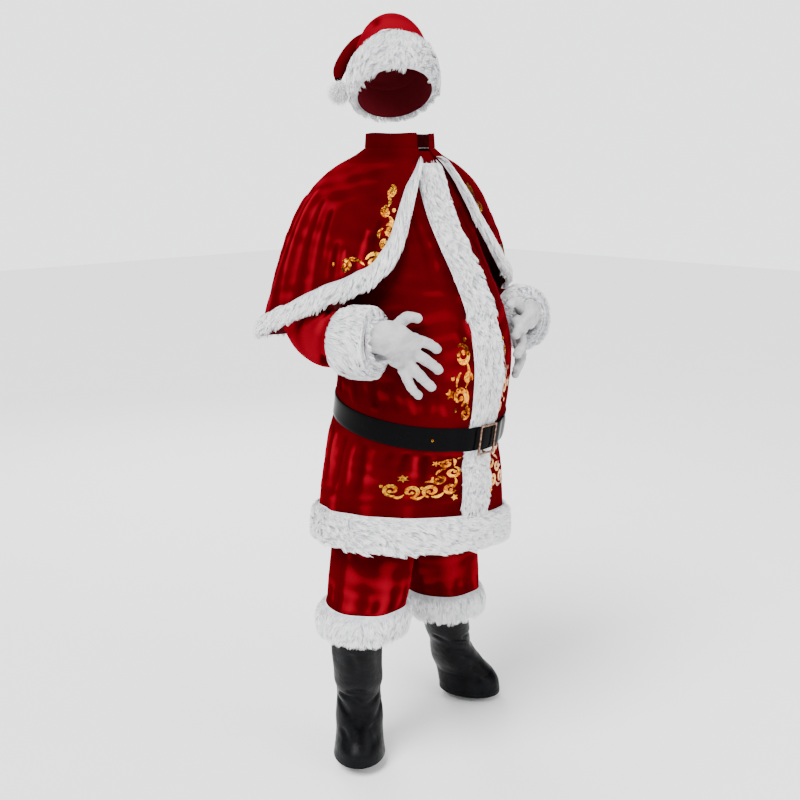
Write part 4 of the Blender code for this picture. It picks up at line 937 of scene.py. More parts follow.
def combed(form, size, thick, count, flow, length=0.020, lock=0.011, droop=0.25, tuck=0.3, rim=0.0):
    """Paths of hairs rooted all over a band; flow gives their heading in degrees from along it."""
    wide, deep = size
    locks = max(8, int(wide * deep / lock ** 2))

    def drawn(along, across, tall, turn):
        heading = np.radians(flow(along, across) + turn)
        step = HAIR_STEPS[None] * tall[:, None]
        ahead = along[:, None] + np.cos(heading)[:, None] * step / wide
        aside = across[:, None] + np.sin(heading)[:, None] * step / deep
        edge = np.clip(np.abs(2.0 * across - 1.0), 0.0, 1.0)
        crown_out = UNDER + thick * np.sqrt(1.0 - 0.85 * edge ** 4)
        lift = 0.55 + 0.62 * np.sin(HAIR_STEPS * 2.0)[None]
        past = np.clip(np.abs(aside - 0.5) - 0.5, 0.0, None)
        aside = aside - np.sign(aside - 0.5) * past * tuck
        points = form(ahead, aside, crown_out[:, None] * lift - tuck * past * deep)
        points[..., 2] -= droop * tall[:, None] * HAIR_STEPS[None] ** 2
        return points

    side_count = max(1, int(math.sqrt(locks * deep / wide)))
    along_count = max(1, locks // side_count)
    cell = np.stack(np.meshgrid(np.arange(along_count), np.arange(side_count)), axis=-1).reshape(-1, 2)
    middle = (cell + rng.random(cell.shape)) / np.array((along_count, side_count))
    lock_turn, lock_tall = rng.normal(0.0, 16.0, len(cell)), length * rng.uniform(0.75, 1.35, len(cell))
    lock_paths = drawn(middle[:, 0], middle[:, 1], lock_tall, lock_turn)
    owner = rng.integers(0, len(cell), count)
    spread = rng.normal(0.0, 0.55 * lock, (count, 2)) / np.array((wide, deep))
    root = middle[owner] + spread
    root[:, 1] = np.clip(root[:, 1] * (1.0 + rim), 0.0, 1.0 + rim)
    tall = lock_tall[owner] * rng.uniform(0.7, 1.12, count)
    paths = drawn(root[:, 0], root[:, 1], tall, lock_turn[owner] + rng.normal(0.0, 10.0, count))
    gather = (0.66 * HAIR_STEPS)[None, :, None]
    paths = paths * (1.0 - gather) + lock_paths[owner] * gather
    over = form(root[:, 0], root[:, 1], np.full(count, 0.01))
    outward = unit(over - form(root[:, 0], root[:, 1], np.zeros(count)))
    return paths, outward


def flat_form(form):
    """Lets a form of an angle and a level be used by shares along and across a band."""
    def placed(along, across, out):
        along, across, out = np.broadcast_arrays(along, across, out)
        return form(along, across, out)
    return placed


def fur_piece(name, node, form, size, thick, count, flow, columns=160, closed=True, **combing):
    """A band of fur: its body and its hairs joined in one piece that stands for the node."""
    form = flat_form(form)
    body = fur_back(name, form, thick, columns, closed)
    paths, outward = combed(form, size, thick, count, flow, **combing)
    hairs = hair_mesh(name + "_hairs", paths, outward, rng.uniform(0.0009, 0.0016, len(paths)))
    select_only(body)
    hairs.select_set(True)
    bpy.ops.object.join()
    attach(body, "root")
    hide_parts(node)
    return body


def hem_form(along, across, out):
    angle = math.tau * along
    return moved_out(jacket_form, angle, HEM + 0.084 * across, out)


PLACKET = table(
    "height thick",
    (0.675, 0.66), (0.726, 1.0), (0.845, 0.8), (0.882, 0.33), (0.960, 0.33),
    (0.990, 0.87), (1.110, 1.06), (1.310, 1.06), (1.476, 0.6),
)
PLACKET_ENDS = (0.6795, 1.476)
PLACKET_HALF = 0.041


def placket_form(along, across, out):
    height = PLACKET_ENDS[0] + (PLACKET_ENDS[1] - PLACKET_ENDS[0]) * along
    share = PLACKET_HALF / column(JACKET, "wide", height)
    edge = np.arcsin(share ** (column(JACKET, "square", height) / 2))
    thick = column(PLACKET, "thick", height)
    return moved_out(jacket_form, edge * (2.0 * across - 1.0), height, out * thick)


hem_fur = fur_piece("hem_fur", "hem_band_fur", hem_form, (1.36, 0.084), 0.0175, 21000,
                    lambda along, across: (-14.0 + 20.0 * np.sin(along * 50.0)
                                           * np.sin(along * 23.0 + across * 3.0)),
                    columns=220, length=0.019, lock=0.010, droop=0.10)
placket = fur_piece("placket_pile", "placket_fur", placket_form, (0.86, 0.082), 0.015, 13500,
                    lambda along, across: (180.0 - (across - 0.5) * 34.0
                                           + 24.0 * np.sin(along * 75.0 + across * 2.0)),
                    columns=130, closed=False, length=0.017, lock=0.009, droop=0.10)

LINING = 0.0004          # the folded-in fur lies this far inside the sleeve's outer face
cuffs, linings = {}, {}
for side in ("right", "left"):
    def cuff_form(along, across, out, side=side):
        return on_side(sleeve_form(math.tau * along, 0.833 + 0.167 * across, out), side)

    cuffs[side] = fur_piece(f"sleeve_cuff_pile_{side}", "sleeve_cuff_fur_" + side, cuff_form,
                            (0.37, 0.085), 0.0175, 7000,
                            lambda along, across: 74.0 + 26.0 * np.sin(along * 19.0 + across * 2.0),
                            columns=96, length=0.026, lock=0.010, droop=0.12, tuck=0.7, rim=0.10)

    def lining_form(along, across, out, side=side):
        return on_side(sleeve_form(math.tau * along, 0.90 + 0.108 * across, -LINING - out), side)

    linings[side] = fur_piece(f"sleeve_cuff_fold_{side}", "sleeve_cuff_fur_" + side, lining_form,
                              (0.34, 0.050), 0.0120, 4500,
                              lambda along, across: 74.0 + 30.0 * np.sin(along * 27.0),
                              columns=96, length=0.022, lock=0.010, droop=0.0, tuck=0.2)

for side in ("right", "left"):
    def trim_form(along, across, out, side=side):
        angle = CAPE_OPEN + (CAPE_BACK - CAPE_OPEN) * along
        edge = column(CAPE_EDGE, "height", np.degrees(angle))
        near = column(CAPE_EDGE, "height", np.degrees(angle) + 0.8)
        plan = cape_form(angle, edge)[..., :2]
        ahead = cape_form(angle + math.radians(0.8), near)[..., :2]
        slope = (near - edge) / np.linalg.norm(ahead - plan, axis=-1)
        border = np.minimum(edge + 0.042 * np.sqrt(1.0 + slope ** 2), (edge + CAPE_NECK) / 2)
        height = border + (edge - border) * across
        points = moved_out(lambda over, up: cape_form(-over, up), -angle, height, out)
        return on_side(points, side)

    fur_piece(f"cape_trim_pile_{side}", "cape_trim_fur_" + side, trim_form,
                            (0.86, 0.046), 0.0150, 10500,
                            lambda along, across: 62.0 + 26.0 * np.sin(along * 41.0),
                            columns=170, closed=False, length=0.015, lock=0.008, droop=0.15)

for side in ("right", "left"):
    def leg_cuff_form(along, across, out, side=side):
        low, _, high = LEG_ENDS[side]
        height = low + (high - low) * across
        flat = leg_form(side, along, height, out)
        return on_side(flat, side)

    fur_piece(f"leg_cuff_pile_{side}", "leg_cuff_fur_" + side, leg_cuff_form,
                               (0.58, 0.070), 0.0190, 9000,
                               lambda along, across: -80.0 + 26.0 * np.sin(along * 33.0),
                               columns=120, length=0.019, lock=0.010)


def brim_form(along, across, out):
    turn = math.tau * along
    up = -0.042 + 0.084 * across
    level = np.clip((up + 0.042) / 0.042, 0.0, 2.0)
    rise = up - (level * 0.042 - 0.042)
    return from_hat(crown_form(turn, level, out) + stack(0.0, 0.0, rise))


brim = fur_piece("hat_brim_pile", "hat_brim_fur", brim_form, (0.58, 0.084), 0.0185, 9500,
                 lambda along, across: -62.0 + 34.0 * np.sin(along * 31.0 + across * 2.0), columns=120,
                 length=0.019, lock=0.010, droop=0.15, tuck=0.6)


POMPOM = {"place": (0.116, 0.062, 0.003), "radius": 0.027}


def pompom_hairs(count):
    """Hairs that stand out all round the ball and bend down at their tips."""
    heading = unit(rng.normal(size=(count, 3)))
    centre = from_hat(np.array(POMPOM["place"]))
    bend = unit(rng.normal(size=(count, 3)))
    tall = rng.uniform(0.80, 1.05, count)[:, None, None] * POMPOM["radius"]
    start = 0.45 * POMPOM["radius"]
    step = HAIR_STEPS[None, :, None]
    paths = centre + heading[:, None] * (start + (tall - start) * step) + bend[:, None] * 0.007 * step ** 2
    paths[..., 2] -= 0.006 * HAIR_STEPS[None] ** 2
    return paths, bend


bpy.ops.object.select_all(action="DESELECT")
bpy.ops.mesh.primitive_ico_sphere_add(subdivisions=4, radius=POMPOM["radius"] * 0.62)
pompom = bpy.context.object
pompom.name = pompom.data.name = "pompom_pile"
bpy.ops.object.mode_set(mode="EDIT")
bpy.ops.transform.translate(value=tuple(from_hat(np.array(POMPOM["place"])) - DROP))
bpy.ops.object.mode_set(mode="OBJECT")
pompom.data.materials.append(FUR)
smooth(pompom, 80.0)
pompom_paths, pompom_bend = pompom_hairs(3600)
pompom_pile = hair_mesh("pompom_hairs", pompom_paths, pompom_bend, rng.uniform(0.0009, 0.0015, 3600))
select_only(pompom)
pompom_pile.select_set(True)
bpy.ops.object.join()
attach(pompom, "root")
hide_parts("pompom_fur")


# The foil: scrolls, dots, leaves and stars of gold foil, pressed onto the velvet beside the placket,
# over the hem and on the cape. They are thin and follow the cloth under them.

def gold_foil():
    """Gold foil with painted reflection: its colour runs from dark brown to bright yellow from crumple to
    crumple, as though it mirrored dark in one and light in the next.
    """
    finish = Finish("gold_foil", metallic=1.0)
    facets = finish.node("ShaderNodeTexVoronoi", {}, {"Scale": 210.0, "Vector": finish.node(
        "ShaderNodeTexCoord", {}, {}, "Object")}, "Color")
    facet_painted_reflection = finish.node("ShaderNodeSeparateXYZ", {}, {0: facets}, 0)
    wide = finish.noise(19.0, 2.0)
    # Painted reflection: bright yellow and near-black brown laid by facets and broad noise.
    tone_with_painted_light = finish.ranged(facet_painted_reflection * 0.36 + wide * 1.3, 0.60, 1.06)
    colour = finish.blended((0.040, 0.009, 0.001, 1.0), (0.66, 0.150, 0.003, 1.0),
                            finish.ranged(tone_with_painted_light, 0.0, 0.5))
    colour = finish.blended(colour, (0.92, 0.46, 0.03, 1.0), finish.ranged(tone_with_painted_light, 0.45, 0.95))
    wrinkles = finish.noise(260.0, 2.0)
    finish.feed(Base_Color=colour, Roughness=finish.ranged(wrinkles, 0.3, 0.7, 0.18, 0.34),
                Normal=finish.raised(wrinkles, 0.0010))
    return finish.material


GOLD = gold_foil()
FOIL = 0.0004            # thickness of the foil


class Design:
    """Flat shapes in metres, to the side of a line and up from it, gathered for one piece."""

    def __init__(self):
        self.points, self.faces = [], []

    def strip(self, spine, half):
        """A band along a spine, half as wide on each side as half says."""
        spine = np.array(spine, float)
        ahead = unit(np.gradient(spine, axis=0))
        aside = np.stack((-ahead[:, 1], ahead[:, 0]), axis=-1) * np.asarray(half)[:, None]
        first = len(self.points)
        self.points += [*(spine + aside), *(spine - aside)]
        count = len(spine)
        self.faces += [(first + at, first + at + count, first + at + count + 1, first + at + 1)
                       for at in range(count - 1)]

    def fan(self, middle, rim):
        first = len(self.points)
        self.points += [np.array(middle, float), *rim]
        count = len(rim)
        self.faces += [(first, first + 1 + at, first + 1 + (at + 1) % count) for at in range(count)]

    def ring(self, across, up, radius, turn):
        return np.stack((across + radius * np.cos(turn), up + radius * np.sin(turn)), axis=-1)

    def dot(self, across, up, radius):
        turn = np.linspace(0.0, math.tau, 18, endpoint=False)
        self.fan((across, up), self.ring(across, up, radius, turn))

    def star(self, across, up, radius, points=5, turned=90.0):
        turn = math.radians(turned) + np.linspace(0.0, math.tau, 2 * points, endpoint=False)
        reach = radius * np.where(np.arange(2 * points) % 2, 0.5, 1.0)
        self.fan((across, up), self.ring(across, up, reach, turn))

    def scroll(self, across, up, radius, start, turns, width=0.0075):
        """A spiral that winds in from its start angle and ends in a round dot."""
        part = np.linspace(0.0, 1.0, 40)
        turn = math.radians(start) + math.tau * turns * part
        reach = radius * (1.0 - 0.70 * part)
        self.strip(self.ring(across, up, reach, turn),
                   width / 2 * (0.25 + 1.1 * np.sin(math.pi * np.clip(part * 1.1 + 0.02, 0.0, 1.0)) ** 0.6))
        end = (across + reach[-1] * math.cos(turn[-1]), up + reach[-1] * math.sin(turn[-1]))
        self.dot(*end, width * 0.62)

    def sweep(self, start, bend, end, width):
        """A leaf or stem: a curve from start to end, drawn towards bend and widest in the middle."""
        part = np.linspace(0.0, 1.0, 20)[:, None]
        spine = ((1 - part) ** 2 * np.array(start) + 2 * part * (1 - part) * np.array(bend)
                 + part ** 2 * np.array(end))
        self.strip(spine, width / 2 * (0.12 + 0.88 * np.sin(math.pi * part[:, 0]) ** 0.8))


def pressed(name, design, place):
    """The design's shapes as foil on the cloth; place maps them onto it."""
    flat = np.array(design.points)
    spots = place(flat[:, 0], flat[:, 1]) - DROP
    mesh = bpy.data.meshes.new(name)
    mesh.from_pydata(spots, [], design.faces)
    piece = bpy.data.objects.new(name, mesh)
    bpy.context.scene.collection.objects.link(piece)
    mesh.materials.append(GOLD)
    lifted = place(flat[:, 0], flat[:, 1], 0.002) - DROP - spots
    mesh.update()
    for face in mesh.polygons:
        face.select = face.normal.dot(Vector(lifted[face.vertices[0]])) < 0.0
    select_only(piece)
    bpy.ops.object.mode_set(mode="EDIT")
    bpy.ops.mesh.flip_normals()
    bpy.ops.object.mode_set(mode="OBJECT")
    apply_change(piece, "SOLIDIFY", thickness=FOIL, offset=1.0)
    smooth(piece, 30.0)
    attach(piece, "root")
    return piece


def front_design():
    """A vine beside the placket that turns along the hem; across runs from the centre front."""
    made = Design()
    made.dot(0.060, 1.108, 0.0045)
    made.scroll(0.071, 1.080, 0.0194, 60, 1.18)
    made.sweep((0.060, 1.066), (0.050, 1.045), (0.064, 1.022), 0.0075)
    made.scroll(0.058, 1.038, 0.0114, 200, -0.96, 0.0052)
    made.sweep((0.076, 1.050), (0.088, 1.040), (0.086, 1.024), 0.006)
    made.scroll(0.078, 1.006, 0.0171, 250, -1.11)
    made.dot(0.096, 1.040, 0.0045)
    made.star(0.102, 1.012, 0.0105, 5, 80)
    made.sweep((0.062, 1.020), (0.052, 1.000), (0.062, 0.980), 0.0065)
    made.scroll(0.062, 0.976, 0.0125, 90, 1.04, 0.0059)
    made.dot(0.086, 0.982, 0.004)
    made.sweep((0.074, 0.866), (0.058, 0.852), (0.062, 0.830), 0.0075)
    made.dot(0.056, 0.864, 0.0045)
    made.scroll(0.082, 0.842, 0.016, 120, -1.11)
    made.star(0.108, 0.846, 0.013, 6, 90)
    made.scroll(0.064, 0.806, 0.0194, 100, 1.18)
    made.sweep((0.082, 0.822), (0.100, 0.820), (0.106, 0.802), 0.0075)
    made.scroll(0.098, 0.786, 0.0171, 30, -1.11)
    made.sweep((0.060, 0.786), (0.052, 0.770), (0.062, 0.752), 0.0065)
    made.scroll(0.070, 0.752, 0.016, 210, 1.11)
    made.star(0.058, 0.724, 0.0095, 5, 70)
    made.sweep((0.084, 0.744), (0.096, 0.724), (0.114, 0.732), 0.0085)
    made.scroll(0.116, 0.748, 0.0182, 280, 1.18)
    made.sweep((0.102, 0.772), (0.118, 0.784), (0.132, 0.776), 0.007)
    made.dot(0.136, 0.758, 0.0045)
    made.sweep((0.130, 0.736), (0.142, 0.720), (0.158, 0.730), 0.0075)
    made.scroll(0.160, 0.748, 0.0182, 270, -1.11)
    made.sweep((0.174, 0.740), (0.186, 0.722), (0.202, 0.734), 0.0075)
    made.scroll(0.204, 0.752, 0.0194, 240, 1.18)
    made.star(0.180, 0.790, 0.0145, 6, 84)
    made.dot(0.228, 0.762, 0.0045)
    return made


def front_place(way):
    def place(across, up, out=0.0):
        return jacket_cloth(way * across / JACKET_RADIUS, up, out + 0.0003)
    return place


foils = {
    "jacket_front_right": pressed("foil_front_right", front_design(), front_place(-1.0)),
    "jacket_front_left": pressed("foil_front_left", front_design(), front_place(1.0)),
}


def cape_design():
    """A chain of scrolls down the front edge, and a spiral with a long stem at the corner."""
    made = Design()
    made.scroll(0.000, 1.418, 0.0125, 80, 0.96, 0.0072)
    made.sweep((0.006, 1.408), (-0.008, 1.396), (0.004, 1.384), 0.0075)
    made.scroll(0.006, 1.376, 0.0114, 100, -0.96, 0.0072)
    made.dot(-0.012, 1.378, 0.0045)
    made.sweep((0.000, 1.366), (-0.014, 1.354), (0.000, 1.342), 0.0085)
    made.scroll(-0.002, 1.336, 0.0137, 60, 1.04, 0.0078)
    made.sweep((0.012, 1.342), (0.024, 1.334), (0.018, 1.320), 0.007)
    made.scroll(0.006, 1.308, 0.0103, 90, -0.96, 0.0065)
    made.scroll(0.028, 1.272, 0.0194, 20, 1.26, 0.0084)
    made.dot(0.012, 1.292, 0.004)
    made.sweep((0.048, 1.266), (0.070, 1.288), (0.098, 1.276), 0.0075)
    made.scroll(0.090, 1.264, 0.0125, 60, 0.96, 0.0065)
    made.dot(0.118, 1.270, 0.004)
    return made


def cape_place(side):
    def place(across, up, out=0.0):
        return cape_cloth(side, math.radians(30.0) + across / 0.21, up, out + 0.0003)
    return place


for side in ("right", "left"):
    foils["cape_" + side] = pressed("foil_cape_" + side, cape_design(), cape_place(side))


# The belt: a wide strap of glossy black patent plastic, once round the waist. It passes through the
# buckle at the centre front, and its free end lies on its start. A small brass eyelet is set in it.

BELT = {"low": 0.894, "middle": WAIST, "high": 0.948, "thick": 0.0024, "lift": 0.0060}
BAR_REACH = math.radians(1.6)
TIP_REACH = math.radians(31.0)


def patent():
    finish = Finish("black_patent", specular_ior_level=0.0, coat_weight=0.6, coat_roughness=0.05,
                    coat_ior=1.12)
    waves = finish.noise(22.0, 2.0)
    dust = finish.noise(260.0, 3.0)
    colour = finish.blended((0.001, 0.001, 0.0012, 1.0), (0.003, 0.003, 0.0035, 1.0), dust)
    finish.feed(Base_Color=colour, Roughness=finish.ranged(dust, 0.3, 0.7, 0.14, 0.26),
                Normal=finish.raised(waves, 0.004))
    return finish.material


def belt_form(width, length, out):
    angle = BAR_REACH + (math.tau + TIP_REACH - BAR_REACH) * width
    near = np.mod(angle + math.pi, math.tau) - math.pi
    clear = np.clip((21.0 - np.degrees(np.abs(near))) / 7.0, 0.0, 1.0)
    base = SEAM + (BELT["lift"] - SEAM) * clear
    over = (BELT["thick"] + 0.0010) * np.clip((angle - math.tau) / BAR_REACH + 2.8, 0.0, 1.0)
    tip = 1.0 - 0.45 * eased(angle, math.tau + TIP_REACH - 0.10, math.tau + TIP_REACH) ** 2
    level = BELT["middle"] + (BELT["high"] - BELT["low"]) * (length - 0.5) * tip
    return moved_out(jacket_form, angle, level, base + over + out)


PATENT = patent()
belt = laid_grid("belt", belt_form, 300, 6, (1.42, 0.054))
face_outwards(belt, belt_form)
belt.data.materials.append(PATENT)
apply_change(belt, "SOLIDIFY", thickness=BELT["thick"], offset=1.0)
apply_change(belt, "BEVEL", width=0.0007, segments=2, limit_method="ANGLE", angle_limit=math.radians(50))
smooth(belt, 35.0)
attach(belt, "root")
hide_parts("belt_strap")


def bronze():
    finish = Finish("antique_bronze", metallic=1.0)
    worn = finish.ranged(finish.noise(160.0, 4.0), 0.38, 0.62)
    colour = finish.blended((0.10, 0.048, 0.030, 1.0), (0.32, 0.185, 0.13, 1.0), worn)
    finish.feed(Base_Color=colour, Roughness=finish.ranged(worn, 0.0, 1.0, 0.42, 0.24),
                Normal=finish.raised(finish.noise(500.0, 3.0), 0.0002))
    return finish.material


BRONZE = bronze()
select_only(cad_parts["buckle"])
bpy.ops.object.duplicate()
buckle = bpy.context.object
buckle.name = buckle.data.name = "buckle_frame"
bpy.ops.object.mode_set(mode="EDIT")
bpy.ops.mesh.select_all(action="SELECT")
bpy.ops.mesh.remove_doubles(threshold=0.00005)
bpy.ops.mesh.dissolve_limited(angle_limit=math.radians(2.0))
bpy.ops.object.mode_set(mode="OBJECT")
apply_change(buckle, "BEVEL", width=0.0008, segments=3, limit_method="ANGLE", angle_limit=math.radians(40))
buckle.data.materials.clear()
buckle.data.materials.append(BRONZE)
smooth(buckle, 35.0)
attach(buckle, "root")
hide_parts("buckle")

EYELET = np.radians(np.array((-37.0,)))
eyelet_spot = moved_out(jacket_form, EYELET, np.full(1, BELT["middle"]),
                        np.full(1, SEAM + BELT["thick"]))[0]
eyelet_out = moved_out(jacket_form, EYELET, np.full(1, BELT["middle"]), np.full(1, 0.05))[0] - eyelet_spot
bpy.ops.object.select_all(action="DESELECT")
bpy.ops.mesh.primitive_torus_add(
    major_radius=0.0021, minor_radius=0.0007, major_segments=20, minor_segments=8,
    location=Vector(eyelet_spot) - Vector(DROP),
    rotation=Vector(eyelet_out).to_track_quat("Z", "Y").to_euler())
eyelet = bpy.context.object
eyelet.name = eyelet.data.name = "belt_eyelet"
bpy.ops.object.transform_apply(location=True, rotation=True, scale=True)
eyelet.data.materials.append(GOLD)
smooth(eyelet, 60.0)
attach(eyelet, "root")


# The gloves: plain white knitted gloves, spread out before the jacket's front and tucked into the
# fur cuffs. The knit gathers in soft rings at the wrist.

PALM = table(
    "step angle  height  off    broad  thin",
    (0.0, 79.0, 1.112, 0.068, 0.033, 0.029),
    (1.0, 67.0, 1.113, 0.071, 0.035, 0.026),
    (2.0, 60.5, 1.110, 0.062, 0.040, 0.022),
    (3.0, 57.2, 1.099, 0.039, 0.0455, 0.0175),
    (4.0, 53.0, 1.087, 0.0240, 0.045, 0.0145),
    (4.5, 50.5, 1.081, 0.0190, 0.039, 0.0105),
)
FINGERS = table(
    "digit angle height off   bend_angle bend_height bend_off tip_angle tip_height root  tip",
    (0, 60.5, 1.126, 0.046, 52.0, 1.150, 0.029, 43.5, 1.149, 0.0150, 0.0102),
    (1, 54.0, 1.115, 0.022, 42.5, 1.104, 0.0240, 34.5, 1.089, 0.0132, 0.0103),
    (2, 55.0, 1.096, 0.021, 43.0, 1.074, 0.0250, 34.3, 1.053, 0.0134, 0.0104),
    (3, 55.5, 1.077, 0.022, 46.0, 1.046, 0.0240, 38.5, 1.023, 0.0130, 0.0100),
    (4, 56.5, 1.060, 0.024, 51.5, 1.027, 0.0210, 46.0, 1.007, 0.0116, 0.0090),
)
KNIT = 0.0014


def knit():
    finish = Finish("white_knit", sheen_weight=0.2, sheen_roughness=0.5, specular_ior_level=0.25)
    rows = finish.node("ShaderNodeTexCoord", {}, {}, "Object")
    rows = finish.node("ShaderNodeMapping", {}, {"Vector": rows, "Rotation": (0.4, 0.0, 0.3)})
    loops = finish.node("ShaderNodeTexWave", {"bands_direction": "Z"},
                        {"Vector": rows, "Scale": 190.0, "Distortion": 1.5, "Detail": 1.0})
    fibres = finish.noise(800.0, 2.0)
    dents_and_painted_shade = finish.noise(34.0, 3.0)
    # Painted shade: grey in the hollows of the soft bump, lighter on its crests.
    colour = finish.blended((0.36, 0.36, 0.375, 1.0), (0.52, 0.52, 0.53, 1.0),
                            finish.ranged(dents_and_painted_shade, 0.3, 0.6))
    normal = finish.raised(dents_and_painted_shade, 0.007)
    normal = finish.raised(loops + fibres * 0.6, 0.0004, normal)
    finish.feed(Base_Color=colour, Roughness=finish.ranged(fibres, 0.0, 1.0, 0.75, 0.95), Normal=normal)
    return finish.material


def off_jacket(angle, height, off):
    """Points off the jacket's right front, by angle in degrees, height and distance."""
    return moved_out(jacket_form, -np.radians(angle), height, off)


def tube_along(name, points, radii, flat, sides):
    """A closed tube through points; flat gives its half thickness."""
    tangent = unit(np.gradient(points, axis=0))
    outward = unit((points - np.array((0.0, -0.08, 0.0))) * np.array((1.0, 1.0, 0.0)))
    thin = unit(outward - np.sum(outward * tangent, axis=-1, keepdims=True) * tangent)
    broad = np.cross(tangent, thin)

    def form(width, length, out):
        turn = math.tau * width
        at = np.linspace(0.0, 1.0, len(points))
        centre = np.stack([np.interp(length, at, points[:, axis]) for axis in range(3)], axis=-1)
        wide = np.interp(length, at, radii)[:, None]
        tall = np.interp(length, at, flat)[:, None]
        sideways = np.stack([np.interp(length, at, broad[:, axis]) for axis in range(3)], axis=-1)
        upwards = np.stack([np.interp(length, at, thin[:, axis]) for axis in range(3)], axis=-1)
        return centre + sideways * wide * np.cos(turn)[:, None] + upwards * tall * np.sin(turn)[:, None]

    made = laid_grid(name, form, sides, len(points) - 1)
    merged(made)
    select_only(made)
    bpy.ops.object.mode_set(mode="EDIT")
    bpy.ops.mesh.select_all(action="SELECT")
    bpy.ops.mesh.fill_holes(sides=0)
    bpy.ops.mesh.normals_make_consistent(inside=False)
    bpy.ops.object.mode_set(mode="OBJECT")
    return made


def finger(name, digit):
    row = {key: values[digit] for key, values in FINGERS.items()}
    keys = np.array((0.0, 0.5, 1.0))
    steps = 1.0 - (1.0 - np.linspace(0.0, 1.0, 26)) ** 1.3
    angle = smooth_curve(keys, np.array((row["angle"], row["bend_angle"], row["tip_angle"])), steps)
    height = smooth_curve(keys, np.array((row["height"], row["bend_height"], row["tip_height"])), steps)
    off = smooth_curve(keys, np.array((row["off"], row["bend_off"], row["tip"] + 0.0005)), steps)
    points = off_jacket(angle, height, off)
    long = np.linalg.norm(points[-1] - points[0])
    radius = row["root"] + (row["tip"] - row["root"]) * steps
    left = (1.0 - steps) * long / row["tip"]
    radius = radius * np.sqrt(np.clip(1.0 - (1.0 - np.clip(left, 0.0, 1.0)) ** 2, 0.02, 1.0))
    radius = radius * (1.0 + 0.03 * np.cos(steps * 14.0))
    return tube_along(name, points, radius, radius, 20)


def wrinkled(piece, wrist, ahead):
    """Soft rings where the knit is pushed together at the wrist, fading out over the palm."""
    spots = np.empty(len(piece.data.vertices) * 3)
    piece.data.vertices.foreach_get("co", spots)
    spots = spots.reshape(-1, 3)
    outward = np.empty(len(spots) * 3)
    piece.data.vertices.foreach_get("normal", outward)
    along = (spots - wrist) @ ahead
    sway = 1.2 * np.sin(spots[:, 2] * 130.0) + 0.8 * np.sin(spots[:, 0] * 210.0)
    rings = 0.0010 * np.sin(along * 620.0 + sway) * np.exp(-(along / 0.040) ** 2)
    pulls = 0.00045 * np.sin(spots[:, 2] * 420.0 + 2.0 * np.sin(spots[:, 0] * 160.0))
    spots = spots + outward.reshape(-1, 3) * (rings + pulls)[:, None]
    piece.data.vertices.foreach_set("co", spots.ravel())
    piece.data.update()


def glove(side):
    """Palm and fingers blended into one knitted skin, then opened at the wrist."""
    steps = np.linspace(0.0, 4.5, 28)
    points = off_jacket(*(column(PALM, name, steps) for name in ("angle", "height", "off")))
    wrist, ahead = points[0].copy(), unit(points[1] - points[0])
    made = tube_along(f"glove_{side}_knit", points, column(PALM, "broad", steps),
                      column(PALM, "thin", steps), 32)
    digits = [finger(f"digit_{digit}", digit) for digit in range(5)]
    select_only(made)
    for digit in digits:
        digit.select_set(True)
    bpy.ops.object.join()
    apply_change(made, "REMESH", mode="VOXEL", voxel_size=0.0022)
    apply_change(made, "SMOOTH", factor=0.6, iterations=9)
    wrinkled(made, wrist - DROP, ahead)
    select_only(made)
    bpy.ops.object.mode_set(mode="EDIT")
    bpy.ops.mesh.select_all(action="SELECT")
    opening = Vector(wrist + ahead * 0.004) - Vector(DROP)
    bpy.ops.mesh.bisect(plane_co=opening, plane_no=Vector(-ahead), clear_outer=True, use_fill=False)
    bpy.ops.object.mode_set(mode="OBJECT")
    if side == "left":
        spots = np.empty(len(made.data.vertices) * 3)
        made.data.vertices.foreach_get("co", spots)
        made.data.vertices.foreach_set("co", on_side(spots.reshape(-1, 3), side).ravel())
        select_only(made)
        bpy.ops.object.mode_set(mode="EDIT")
        bpy.ops.mesh.select_all(action="SELECT")
        bpy.ops.mesh.flip_normals()
        bpy.ops.object.mode_set(mode="OBJECT")
    made.data.materials.clear()
    made.data.materials.append(KNITTED)
    apply_change(made, "SOLIDIFY", thickness=KNIT, offset=-1.0)
    smooth(made, 60.0)
    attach(made, "root")
    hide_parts("glove_" + side)


KNITTED = knit()
for side in ("right", "left"):
    glove(side)


# The boot covers: tubes of black imitation leather over shin and instep, sewn up one side, with a
# stitched hem at the foot. The cloth-backed sheet breaks in slanting creases at the ankle.

